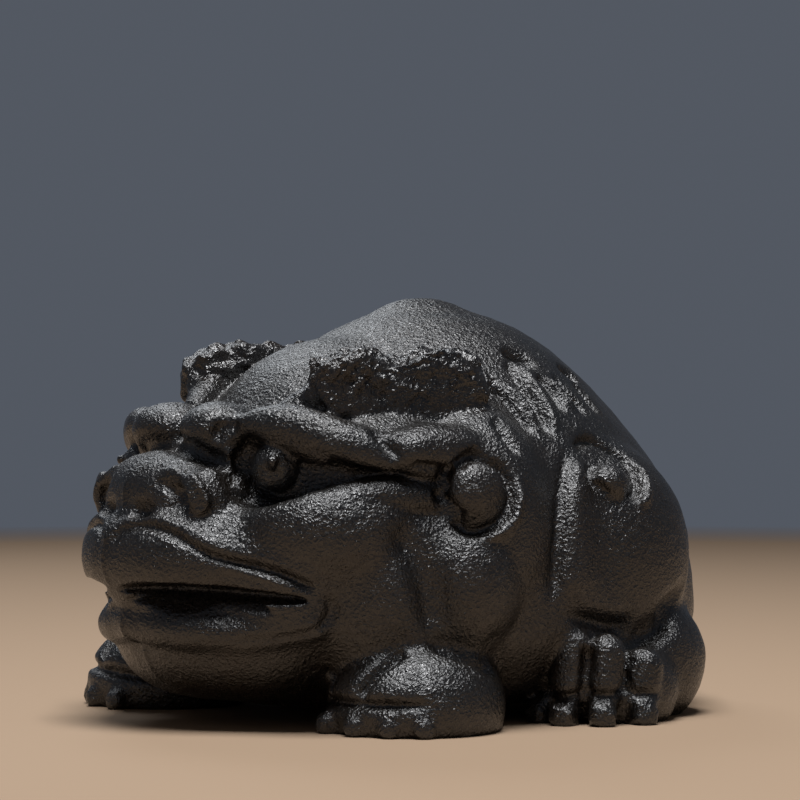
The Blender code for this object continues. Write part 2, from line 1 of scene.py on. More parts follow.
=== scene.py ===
"""The looks of a tea pet: a crouching, toad-faced guardian beast of black unglazed clay.

The beast faces -Y. Lumps of clay are fused in steps, trunk first, then limbs and details, with
folds, feathers and rings carved in between. The skin then gets the seam of the mould, the broken
faces of the horns and slight waves, and its finish gives it grain. Numbers are millimetres and
degrees, and the finished mesh is scaled to metres.
"""

import logging
import math
from dataclasses import dataclass, field
from enum import Enum
from typing import Iterable, Sequence

import bmesh
import bpy
import numpy as np
from mathutils import Euler, Matrix, Vector, noise
from mathutils.bvhtree import BVHTree

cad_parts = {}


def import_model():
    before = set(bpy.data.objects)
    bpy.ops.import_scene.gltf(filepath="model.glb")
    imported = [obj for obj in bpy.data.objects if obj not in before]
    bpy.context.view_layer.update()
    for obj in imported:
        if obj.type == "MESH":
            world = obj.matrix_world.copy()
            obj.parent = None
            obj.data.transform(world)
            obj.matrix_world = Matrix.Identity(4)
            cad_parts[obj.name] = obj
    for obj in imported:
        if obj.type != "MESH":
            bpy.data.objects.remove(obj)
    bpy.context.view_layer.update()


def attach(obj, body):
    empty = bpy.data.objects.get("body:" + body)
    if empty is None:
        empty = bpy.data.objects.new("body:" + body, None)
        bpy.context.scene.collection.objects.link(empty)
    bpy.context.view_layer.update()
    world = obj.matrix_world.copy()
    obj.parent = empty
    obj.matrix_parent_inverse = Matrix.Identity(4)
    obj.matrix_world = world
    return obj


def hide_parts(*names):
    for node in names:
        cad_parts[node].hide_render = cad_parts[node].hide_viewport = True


logging.basicConfig(level=logging.INFO, format="%(name)s: %(message)s")
LOG = logging.getLogger("tea_pet")

MM = 0.001
NODE = "tea_pet"
PIECE = "tea_pet_clay"

Point = tuple[float, ...]
Spot = tuple[float, float]
Colour = tuple[float, float, float]
Sides = tuple[int, ...]
Clay = bmesh.types.BMesh
Mesh = bpy.types.Mesh
Body = bpy.types.Object
Socket = bpy.types.NodeSocket
BOTH: Sides = (1, -1)
HERE: Point = (0.0, 0.0, 0.0)
# Sides and rings of the balls that are pressed into the clay
BALLS = {"lump": (56, 32), "bead": (20, 12)}


class Surface(Enum):
    """The finishes that one clay takes, in the order of the piece's material slots."""

    RUBBED = 0
    BROKEN = 1
    SOLE = 2


# Shapes of clay


@dataclass(frozen=True)
class Lump:
    """An egg of clay: its centre, its half sizes and its turn about X, Y and Z."""

    centre: Point
    radii: Point
    turn: Point = HERE

    def matrix(self, side: int = 1, shift: Point = HERE) -> Matrix:
        """Place a unit ball as this lump.

        Args:
            side: 1 for the left side of the beast, -1 for the twin across the middle.
            shift: how far the lump is moved before it is mirrored.

        Returns:
            The matrix that turns a unit ball into the lump.
        """
        turn = Euler([math.radians(a) for a in self.turn]).to_matrix().to_4x4()
        moved = Vector(self.centre) + Vector(shift)
        placed = Matrix.Translation(moved) @ turn @ Matrix.Diagonal((*self.radii, 1))
        return Matrix.Diagonal((side, 1, 1, 1)) @ placed

    def depth(self, points: np.ndarray, side: int, shift: Point) -> np.ndarray:
        """Measure how deep points lie in the lump.

        Args:
            points: an array of points, one in a row.
            side: the side that the lump is on.
            shift: how far the lump is moved before it is mirrored.

        Returns:
            1 on the lump's skin, less inside it and more outside it.
        """
        inverse = np.array(self.matrix(side, shift).inverted())
        local = points @ inverse[:3, :3].T + inverse[:3, 3]
        return np.linalg.norm(local, axis=1)


@dataclass(frozen=True)
class Roll:
    """A tapered roll of clay through points, each (x, y, z, radius)."""

    points: tuple[Point, ...]


@dataclass(frozen=True)
class Stroke:
    """A mark along a curve on the skin. Each point is (x, y, z, half width, press).

    A press above 0 sinks a groove and one below 0 raises a rib. Step raises the skin on the
    stroke's left, seen from outside, and the rise fades away over fall.
    """

    points: tuple[Point, ...]
    step: float = 0.0
    fall: float = 4.0
    fade: float = 0.22


@dataclass(frozen=True)
class Ring:
    """A mark along an arc about a point of the skin. Angles run clockwise from the top."""

    centre: Point
    out: Point
    radius: float
    start: float
    end: float
    half_width: float
    press: float
    stretch: float = 1.0

    def stroke(self) -> Stroke:
        """Return the arc as a stroke."""
        out = Vector(self.out).normalized()
        side = out.cross(Vector((0, 0, 1))).normalized()
        up = side.cross(out)
        points = []
        for k in range(9):
            angle = math.radians(self.start + (self.end - self.start) * k / 8)
            spot = Vector(self.centre) - side * (self.radius * math.sin(angle))
            spot += up * (self.radius * self.stretch * math.cos(angle))
            points.append((*spot, self.half_width, self.press))
        return Stroke(tuple(points), fade=0.0 if abs(self.end - self.start) >= 360 else 0.3)


# Working the clay


def ease(t: np.ndarray | float) -> np.ndarray:
    """Return a soft step that runs from 0 to 1 as t does."""
    t = np.clip(t, 0, 1)
    return t * t * (3 - 2 * t)


def smooth_path(points: Sequence[Point], step: float) -> np.ndarray:
    """Draw a smooth curve through points.

    Args:
        points: the points, with any number of columns. The first three are the place.
        step: the longest distance between two points of the curve.

    Returns:
        The curve's points, with the same columns.
    """
    knots = np.array(points, float)
    if len(knots) == 2:
        tangents = np.array([knots[1] - knots[0]] * 2)
    else:
        inner = (knots[2:] - knots[:-2]) / 2
        tangents = np.vstack([knots[1] - knots[0], inner, knots[-1] - knots[-2]])
    path = []
    for k in range(len(knots) - 1):
        length = np.linalg.norm((knots[k + 1] - knots[k])[:3])
        count = max(1, math.ceil(length / step))
        t = (np.arange(count) / count)[:, None]
        path.append(
            (2 * t**3 - 3 * t**2 + 1) * knots[k]
            + (t**3 - 2 * t**2 + t) * tangents[k]
            + (3 * t**2 - 2 * t**3) * knots[k + 1]
            + (t**3 - t**2) * tangents[k + 1]
        )
    return np.vstack([*path, knots[-1:]])


def rows_of(items: Sequence, name: str) -> np.ndarray:
    """Read three numbers of each item.

    Args:
        items: a mesh's points, normals or faces.
        name: what is read.

    Returns:
        The numbers, one item in a row.
    """
    flat = np.empty(len(items) * 3)
    items.foreach_get(name, flat)
    return flat.reshape(-1, 3)


def points_of(mesh: Mesh) -> np.ndarray:
    """Return the mesh's points, one in a row."""
    return rows_of(mesh.vertices, "co")


def normals_of(mesh: Mesh) -> np.ndarray:
    """Return the normals at the mesh's points, one in a row."""
    return rows_of(mesh.vertex_normals, "vector")


def move_points(mesh: Mesh, points: np.ndarray) -> None:
    """Put the mesh's points at new places."""
    mesh.vertices.foreach_set("co", points.ravel())
    mesh.update()


def lift_points(mesh: Mesh, rise: np.ndarray) -> None:
    """Move the mesh's points along their normals, each by its rise."""
    move_points(mesh, points_of(mesh) + normals_of(mesh) * rise[:, None])


def settled(made: Clay, name: str) -> Mesh:
    """Turn worked clay into a mesh.

    Args:
        made: the clay, which is used up.
        name: the mesh's name.

    Returns:
        The mesh.
    """
    mesh = bpy.data.meshes.new(name)
    made.to_mesh(mesh)
    made.free()
    return mesh


def linked(data: bpy.types.ID) -> Body:
    """Return a new object of the data, with its name, linked into the scene."""
    made = bpy.data.objects.new(data.name, data)
    bpy.context.scene.collection.objects.link(made)
    return made


def each_side(far_shift: Point) -> tuple[tuple[int, Point], ...]:
    """Return both sides, each with how far its clay is moved."""
    return (1, HERE), (-1, far_shift)


@dataclass(frozen=True)
class Weld:
    """How lumps are fused: the size of the skin's quads, and how far the joins are softened."""

    voxel: float
    soften: float


@dataclass
class Workbench:
    """The tools that press, fuse, cut and carve the clay."""

    trunk_weld: Weld = Weld(0.62, 1.6)
    limb_weld: Weld = Weld(0.45, 0.7)
    detail_weld: Weld = Weld(0.32, 0.3)
    last_weld: Weld = Weld(0.3, 0.2)
    stone_size: float = 0.94
    stone_chips: float = 0.26
    stone_grain: float = 2.6
    stone_boxiness: float = 0.4
    bead_spacing: float = 0.33
    carving_depth: float = 1.35
    path_step: float = 0.25
    profile_reach: float = 1.9
    profile_fall: float = 1.6
    step_width: float = 0.8
    block: int = 20000
    balls: dict[str, Mesh] = field(default_factory=dict)

    def ball(self, name: str) -> Mesh:
        """Return the mesh of one of the BALLS, of radius 1, made once."""
        if name not in self.balls:
            made = bmesh.new()
            sides, rings = BALLS[name]
            bmesh.ops.create_uvsphere(made, u_segments=sides, v_segments=rings, radius=1)
            self.balls[name] = settled(made, name)
        return self.balls[name]

    def stone(self) -> Mesh:
        """Return a mesh of a chipped, boxy ball of about radius 1."""
        made = bmesh.new()
        bmesh.ops.create_icosphere(made, subdivisions=4, radius=1)
        for vertex in made.verts:
            longest = max(abs(c) for c in vertex.co)
            chip = noise.noise(vertex.co * self.stone_grain + Vector((3, 1, 2)))
            size = self.stone_size + self.stone_chips * chip
            vertex.co *= longest**-self.stone_boxiness * size
        return settled(made, "stone")

    def press(self, clay: Clay, ball: Mesh, matrix: Matrix) -> list:
        """Press one ball into the clay.

        Args:
            clay: the clay so far.
            ball: the ball's mesh.
            matrix: where the ball goes.

        Returns:
            The points that were added.
        """
        before = len(clay.verts)
        clay.from_mesh(ball)
        clay.verts.ensure_lookup_table()
        added = clay.verts[before:]
        bmesh.ops.transform(clay, matrix=matrix, verts=added)
        return added

    def lump(self, clay: Clay, lump: Lump, sides: Sides = BOTH) -> list:
        """Press a lump into the clay, and its twin if it is off the middle.

        Args:
            clay: the clay so far.
            lump: the lump on the left side.
            sides: the sides it goes on.

        Returns:
            The points that were added.
        """
        added: list = []
        for side in sides if lump.centre[0] else (1,):
            added += self.press(clay, self.ball("lump"), lump.matrix(side))
        return added

    def roll(
        self, clay: Clay, roll: Roll, sides: Sides = BOTH, shift: Point = HERE
    ) -> None:
        """Press a roll into the clay.

        Args:
            clay: the clay so far.
            roll: the roll on the left side.
            sides: the sides it goes on.
            shift: how far it is moved before it is mirrored.
        """
        bead = self.ball("bead")
        thinnest = min(p[3] for p in roll.points)
        for x, y, z, radius in smooth_path(roll.points, self.bead_spacing * thinnest):
            for side in sides:
                spot = Vector((side * (x + shift[0]), y + shift[1], z + shift[2]))
                self.press(clay, bead, Matrix.Translation(spot) @ Matrix.Scale(radius, 4))

    def mesh_of(
        self, clay: Clay, name: str, skin: Mesh | None = None
    ) -> Mesh:
        """Turn the clay into a mesh.

        Args:
            clay: the clay, which is used up.
            name: the mesh's name.
            skin: a skin that the clay is pressed on.

        Returns:
            The mesh of the clay and the skin.
        """
        bmesh.ops.recalc_face_normals(clay, faces=clay.faces)
        if skin:
            clay.from_mesh(skin)
        return settled(clay, name)

    def finished(self, body: Body) -> Mesh:
        """Return the object's mesh with its modifiers applied. The object goes."""
        graph = bpy.context.evaluated_depsgraph_get()
        mesh = bpy.data.meshes.new_from_object(body.evaluated_get(graph))
        bpy.data.objects.remove(body)
        return mesh

    def fuse(self, mesh: Mesh, weld: Weld) -> Mesh:
        """Fuse overlapping lumps into one skin.

        Args:
            mesh: the lumps.
            weld: how they are fused.

        Returns:
            The skin.
        """
        body = linked(mesh)
        remesh = body.modifiers.new("Fuse", "REMESH")
        remesh.mode = "VOXEL"
        remesh.voxel_size = weld.voxel
        smooth = body.modifiers.new("Soften", "SMOOTH")
        smooth.factor = 0.5
        smooth.iterations = max(1, round(4 * (weld.soften / weld.voxel) ** 2))
        return self.finished(body)

    def carve(self, mesh: Mesh, strokes: Iterable[Stroke], sides: Sides = BOTH) -> None:
        """Move the skin along its normals, by the profile of each stroke and of its twin.

        Args:
            mesh: the skin, which is changed.
            strokes: the strokes on the left side.
            sides: the sides they go on.
        """
        points = points_of(mesh)
        normals = normals_of(mesh)
        polygons = [tuple(f.vertices) for f in mesh.polygons]
        tree = BVHTree.FromPolygons([tuple(p) for p in points], polygons)
        rise = np.zeros(len(points))
        for stroke in strokes:
            for side in sides:
                near, amount = self.stroke_rise(tree, points, normals, stroke, side)
                rise[near] += amount
        lift_points(mesh, rise)

    def stroke_rise(
        self, tree: BVHTree, points: np.ndarray, normals: np.ndarray, stroke: Stroke, side: int
    ) -> tuple[np.ndarray, np.ndarray]:
        """Work out how far one stroke lifts the skin.

        Args:
            tree: the skin, for finding the nearest spot on it.
            points: the skin's points.
            normals: the skin's normals.
            stroke: the stroke on the left side.
            side: 1 for the left side, -1 for its twin.

        Returns:
            The numbers of the points that the stroke reaches, and how far each one rises.
        """
        given = np.array(stroke.points, float)
        given[:, 0] *= side
        path = smooth_path(given, self.path_step)
        landed = [tree.find_nearest(Vector(p)) for p in path[:, :3]]
        line = np.array([spot[0] for spot in landed])
        out = np.array([spot[1] for spot in landed])
        left = side * np.cross(out, np.gradient(line, axis=0))
        left /= np.linalg.norm(left, axis=1)[:, None] + 1e-9
        lengths = np.linalg.norm(np.diff(line, axis=0), axis=1)
        travelled = np.concatenate([[0], np.cumsum(lengths)])
        part = travelled / travelled[-1]
        fading = np.ones(len(path))
        if stroke.fade:
            fading = ease(np.minimum(part, 1 - part) / stroke.fade)
        reach = max(self.profile_reach * path[:, 3].max(), stroke.fall if stroke.step else 0)
        inside = (points > line.min(axis=0) - reach) & (points < line.max(axis=0) + reach)
        near = np.flatnonzero(inside.all(axis=1))
        closest = np.empty(len(near), int)
        for first in range(0, len(near), self.block):
            block = near[first : first + self.block]
            apart = np.linalg.norm(points[block][:, None, :] - line[None, :, :], axis=2)
            closest[first : first + self.block] = apart.argmin(axis=1)
        offsets = points[near] - line[closest]
        distance = np.linalg.norm(offsets, axis=1)
        facing = (normals[near] * out[closest]).sum(axis=1) > 0.1
        spread = distance / path[closest, 3]
        bell = np.exp(-self.profile_fall * spread**2)
        amount = -path[closest, 4] * np.where(spread < self.profile_reach, bell, 0)
        if stroke.step:
            sided = (offsets * left[closest]).sum(axis=1)
            over = ease(0.5 + sided / (self.step_width * path[closest, 3]))
            amount += stroke.step * over * ease(1 - distance / stroke.fall)
        return near, np.where(facing, self.carving_depth * amount * fading[closest], 0)


# The beast's parts


@dataclass
class Torso:
    """Trunk, head and haunches: the first clay."""

    trunk: Lump = Lump((0, 8, 14), (31.5, 35.2, 39.2))
    ridge_taper: float = 0.07
    taper_from: float = 27
    taper_over: float = 18
    ridge_lean: float = 2.6
    lean_from: float = 12
    lean_over: float = 36
    belly_tuck: float = 0.24
    tuck_below: float = 12
    belly_clearance: float = 2.0
    belly_softness: float = 2.5
    lumps: tuple[Lump, ...] = (
        Lump((0, 4.5, 45.5), (9, 11, 8.9)),
        Lump((0, -8, 30), (19, 20, 19.0)),
        Lump((0, -15, 22), (26.5, 22, 19.5)),
        Lump((0, -27, 21.0), (18.4, 17.7, 10.6)),
        Lump((14, -22, 17.5), (10, 13, 10)),
        Lump((14.8, -21, 24.2), (12.7, 13.2, 9.8)),
        Lump((17.5, -14, 17), (12.5, 13, 14)),
        Lump((0, -24, 11), (19, 15, 9.5)),
        Lump((20.2, -4.4, 24), (12, 11, 16.6)),
        Lump((19.5, 16.3, 20.6), (12.9, 14.2, 15.4)),
    )

    def build(self, bench: Workbench) -> Mesh:
        """Build the skin of the trunk and the head.

        Args:
            bench: the tools.

        Returns:
            The skin.
        """
        clay = bmesh.new()
        for vertex in bench.lump(clay, self.trunk):
            height = vertex.co.z
            taper = 1 - self.ridge_taper * float(ease((height - self.taper_from) / self.taper_over))
            tuck = float(ease((self.tuck_below - height) / self.tuck_below))
            vertex.co.x *= taper - self.belly_tuck * tuck
            middle = self.trunk.centre[1]
            vertex.co.y = middle + (vertex.co.y - middle) * taper
            vertex.co.y -= self.ridge_lean * float(ease((height - self.lean_from) / self.lean_over))
        for lump in self.lumps:
            bench.lump(clay, lump)
        skin = bench.fuse(bench.mesh_of(clay, "trunk"), bench.trunk_weld)
        self.lift_belly(skin)
        return skin

    def lift_belly(self, mesh: Mesh) -> None:
        """Press everything below the belly's clearance up into a flat underside."""
        points = points_of(mesh)
        soft = self.belly_softness
        low = points[:, 2] < self.belly_clearance + soft
        drop = (points[low, 2] - self.belly_clearance - soft) / soft
        points[low, 2] = self.belly_clearance + soft * np.exp(drop)
        move_points(mesh, points)


@dataclass
class Face:
    """Brows, nose, lips, ears, eyes and the slit of the mouth."""

    lumps: tuple[Lump, ...] = (
        Lump((5.5, -31.0, 36.7), (5.4, 5.2, 3.6)),
        Lump((18.4, -14.5, 34.6), (6.4, 10.5, 4.6)),
        Lump((0, -33.4, 28.6), (11.8, 8.2, 6.3)),
        Lump((0, -36.6, 29.4), (6.8, 5.0, 4.2)),
        Lump((9.0, -34.6, 28.6), (3.8, 4.4, 4.0)),
        Lump((25.2, -12.6, 34.0), (4.2, 8.6, 3.6)),
    )
    rolls: tuple[Roll, ...] = (
        Roll((
            (9.6, -31.4, 34.0, 2.3), (12.0, -30.6, 36.4, 2.6), (16.2, -28.2, 36.9, 3.0),
            (20.6, -24.9, 35.2, 3.3), (23.4, -21.6, 33.9, 2.9), (25.0, -18.6, 33.3, 2.2))),
        Roll((
            (0, -41.8, 20.6, 2.2), (8, -38.4, 20.2, 2.1), (15, -33.0, 18.8, 2.0),
            (20.6, -28.0, 17.4, 1.8))),
        Roll((
            (0, -39.8, 13.2, 2.5), (8, -37.6, 12.4, 2.5), (15, -32.4, 12.2, 2.3),
            (20.6, -27.6, 13.4, 2.1))),
    )
    cheekbone: Roll = Roll((
        (20.9, -28.2, 27.0, 1.9), (22.9, -25.0, 27.9, 2.3), (24.1, -21.0, 28.5, 2.4),
        (24.9, -17.0, 28.6, 2.4), (25.6, -13.5, 28.2, 2.2)))
    eyeball: Lump = Lump((14.8, -29.1, 32.2), (3.0, 3.0, 2.95))
    gaze: Point = (0.74, -0.62, 0.26)
    pupil_bead: float = 1.15
    mouth: Lump = Lump((0, -41.6, 17.3), (22.6, 6.2, 1.2))
    lip_slope: Lump = Lump((0, -42.2, 15.4), (19.5, 5.2, 1.5), (30, 0, 0))
    mouth_pinch: float = 0.85
    mouth_pinch_width: float = 8.0
    mouth_shallow: float = 4.6
    mouth_bend: float = 0.0265
    mouth_sag: float = 0.0022

    def press_features(self, bench: Workbench, clay: Clay) -> None:
        """Press the brows, the nose, the lips and the ears into the clay."""
        for lump in self.lumps:
            bench.lump(clay, lump)
        for roll in self.rolls:
            bench.roll(clay, roll)

    def press_eyes(self, bench: Workbench, clay: Clay) -> None:
        """Press the cheekbones, the eyeballs and the beads of their pupils into the clay."""
        bench.roll(clay, self.cheekbone)
        bench.lump(clay, self.eyeball)
        gaze = Vector(self.gaze).normalized()
        spot = Vector(self.eyeball.centre) + gaze * self.eyeball.radii[0]
        bench.lump(clay, Lump(tuple(spot), (self.pupil_bead,) * 3))

    def cut_mouth(self, bench: Workbench, skin: Mesh) -> Mesh:
        """Cut the slit of the mouth out of the skin.

        Args:
            bench: the tools.
            skin: the skin before the cut.

        Returns:
            The skin with the slit.
        """
        lens = bmesh.new()
        for lump in (self.mouth, self.lip_slope):
            level = lump.centre[2]
            for vertex in bench.lump(lens, lump):
                middle = 1 - float(ease(abs(vertex.co.x) / self.mouth_pinch_width))
                vertex.co.z += (level - vertex.co.z) * self.mouth_pinch * middle
                vertex.co.y -= self.mouth_shallow * middle
                vertex.co.z -= self.mouth_sag * vertex.co.x**2
                vertex.co.y += self.mouth_bend * vertex.co.x**2
        cutter = linked(bench.mesh_of(lens, "mouth_cutter"))
        body = linked(skin)
        cut = body.modifiers.new("Mouth", "BOOLEAN")
        cut.operation = "DIFFERENCE"
        cut.solver = "EXACT"
        cut.use_self = True
        cut.object = cutter
        opened = bench.finished(body)
        bpy.data.objects.remove(cutter)
        return opened


@dataclass
class Feet:
    """Arms, hocks, feet, toes and claws, and the tail that lies on the back."""

    lumps: tuple[Lump, ...] = (
        Lump((24.9, -8.8, 17.8), (7.9, 8.2, 9.3)),
        Lump((20.2, 20.2, 7), (12, 12.6, 10.5)),
        Lump((26.8, 14.6, 4.0), (8.4, 8.6, 7.4)),
    )
    fore_foot: Lump = Lump((23.8, -14.6, 3.2), (11.0, 11.0, 8.3))
    fore_heel: Lump = Lump((24.5, -10.5, 3), (7.5, 7.5, 8))
    far_shift: Point = (1.8, -4.0, 0.0)
    fore_claws: tuple[Spot, ...] = ((20.2, -24.8), (25.4, -24.6), (29.4, -22.6), (32.2, -19.8))
    hind_toes: tuple[Point, ...] = (
        (25.4, 5.8, 7.8), (29.6, 5.0, 9.6), (32.6, 7.9, 8.8), (33.9, 12.9, 7.0))
    hind_toe_radius: float = 2.6
    hind_toe_taper: float = 0.3
    hind_toe_foot: float = 4.8
    hind_toe_lean: Spot = (0.8, 0.2)
    hind_claws: tuple[Spot, ...] = ((25.2, 4.4), (29.9, 4.1), (33.5, 7.2), (34.8, 12.6))
    claw: Lump = Lump((0, 0, 1.2), (1.5, 1.8, 1.6))
    hind_claw: Point = (1.9, 2.2, 2.0)
    tail: Roll = Roll((
        (0, 41.0, 5, 2.2), (2.5, 42.0, 13, 2.7), (4.0, 40.8, 21, 2.8), (2.0, 38.2, 28, 2.6),
        (-3.0, 37.4, 30.5, 2.0), (-5.2, 39.2, 26.5, 1.5)))

    def press_limbs(self, bench: Workbench, clay: Clay) -> None:
        """Press the arms, the hocks, the feet and the tail into the clay."""
        for lump in self.lumps:
            bench.lump(clay, lump)
        for side, shift in each_side(self.far_shift):
            for lump in (self.fore_foot, self.fore_heel):
                bench.press(clay, bench.ball("lump"), lump.matrix(side, shift))
        bench.roll(clay, self.tail, sides=(1,))

    def claw_matrix(
        self, spot: Spot, foot: Lump, radii: Point, side: int = 1, shift: Point = HERE
    ) -> Matrix:
        """Return where a unit ball becomes a claw that points away from its foot.

        Args:
            spot: the claw's middle in plan.
            foot: the foot that it grows from.
            radii: the claw's half sizes.
            side: 1 for the beast's left, -1 for its right.
            shift: how far the foot is moved.

        Returns:
            The matrix of the ball.
        """
        out = Vector((spot[0] - foot.centre[0], spot[1] - foot.centre[1], 0)).normalized()
        turn = math.degrees(math.atan2(out.x, -out.y))
        claw = Lump((*spot, self.claw.centre[2]), radii, (0, 0, turn))
        return claw.matrix(side, shift)

    def press_toes(self, bench: Workbench, clay: Clay) -> None:
        """Press the hind toes and all the claws into the clay."""
        stone = bench.stone()
        for spot in self.fore_claws:
            for side, shift in each_side(self.far_shift):
                matrix = self.claw_matrix(spot, self.fore_foot, self.claw.radii, side, shift)
                bench.press(clay, stone, matrix)
        for x, y, top in self.hind_toes:
            radius = self.hind_toe_radius
            high, low = self.hind_toe_lean
            knuckle = (x, y + high, top, radius)
            middle = (x, y + low, 0.5 * top, radius)
            tip = (x, y, self.hind_toe_foot, radius - self.hind_toe_taper)
            bench.roll(clay, Roll((knuckle, middle, tip)))
        hind_foot = self.lumps[-1]
        for spot in self.hind_claws:
            for side in BOTH:
                matrix = self.claw_matrix(spot, hind_foot, self.hind_claw, side)
                bench.press(clay, stone, matrix)


@dataclass
class Horns:
    """Two rough slabs a side, sawn off square behind. The far horn sits higher, further in and back."""

    root: Roll = Roll(((12, -27.2, 37.9, 1.6), (14.2, -24.4, 39.4, 2.3), (16.2, -21.5, 41.2, 3.0)))
    slabs: tuple[Lump, ...] = (
        Lump((17.2, -19.4, 41.8), (4.5, 6.2, 4.7)),
        Lump((19.6, -8.4, 41.4), (4.9, 8.8, 5.5)),
    )
    bumps: tuple[Lump, ...] = (
        Lump((15.4, -17.2, 44.4), (3.4, 3.6, 2.7)),
        Lump((18.0, -5.5, 44.0), (4.2, 4.4, 3.1)),
        Lump((20.4, -5.2, 40.2), (4.4, 5.0, 3.6)),
    )
    end: float = -3.0
    far_shift: Point = (-3.0, 2.0, 1.5)
    chip_size: float = 2.6
    chip_step: float = 0.42
    chip_sink: float = 0.75
    chip_tilt: float = 0.42
    chip_seed: float = 37.0
    wander: float = 0.3
    wander_grain: float = 0.6
    pit_depth: float = 0.2
    pit_gain: float = 3.0
    pit_grain: float = 1.25
    pit_floor: float = 0.12
    far_wear: float = 0.25
    face_at: float = 23.6
    face_slant: float = 0.25
    face_middle: float = -8.0
    face_wear: float = 0.3
    broken_above: float = 41.2
    broken_over: float = 2.0
    reach: float = 1.14
    reach_over: float = 0.12
    neck: float = 38.0
    neck_over: float = 1.6
    far_off: float = 9.0

    def press_horns(self, bench: Workbench, clay: Clay) -> None:
        """Press the slabs of both horns into the clay."""
        stone = bench.stone()
        for side, shift in each_side(self.far_shift):
            for lump in (*self.slabs, *self.bumps):
                for vertex in bench.press(clay, stone, lump.matrix(side, shift)):
                    vertex.co.y = min(vertex.co.y, self.end + shift[1])
                    along = vertex.co.y - self.face_middle
                    face = self.face_at + shift[0] + self.face_slant * along
                    vertex.co.x = side * min(side * vertex.co.x, face)
            bench.roll(clay, self.root, sides=(side,), shift=shift)

    def share(self, points: np.ndarray) -> np.ndarray:
        """Measure how far points belong to a horn.

        Args:
            points: the skin's points.

        Returns:
            1 on a horn, easing to 0 beside it.
        """
        depth = np.full(len(points), self.far_off)
        for side, shift in each_side(self.far_shift):
            for lump in (*self.slabs, *self.bumps):
                depth = np.minimum(depth, lump.depth(points, side, shift))
        height = ease((points[:, 2] - self.neck) / self.neck_over)
        return ease((self.reach + self.reach_over - depth) / self.reach_over) * height

    def break_faces(self, mesh: Mesh) -> None:
        """Break the horns' skin into rough facets and pits."""
        points = points_of(mesh)
        share = self.share(points) * np.where(points[:, 0] < 0, self.far_wear, 1.0)
        top = ease((points[:, 2] - self.broken_above) / self.broken_over)
        share *= self.face_wear + (1 - self.face_wear) * top
        rise = np.zeros(len(points))
        for k in np.flatnonzero(share > 0.01):
            spot = Vector(points[k])
            wander = noise.noise_vector(spot * self.wander_grain) * self.wander
            centre = noise.voronoi((spot + wander) / self.chip_size)[1][0]
            chance = noise.cell_vector(centre * self.chip_seed)
            lean = (spot / self.chip_size - centre) @ (chance - Vector((0.5, 0.5, 0.5)))
            step = self.chip_step * (chance.x - self.chip_sink)
            flat = step + self.chip_tilt * self.chip_size * lean
            pits = max(0.0, noise.noise(spot * self.pit_grain) - self.pit_floor)
            rise[k] = share[k] * (flat - self.pit_depth * self.pit_gain * pits)
        lift_points(mesh, rise)


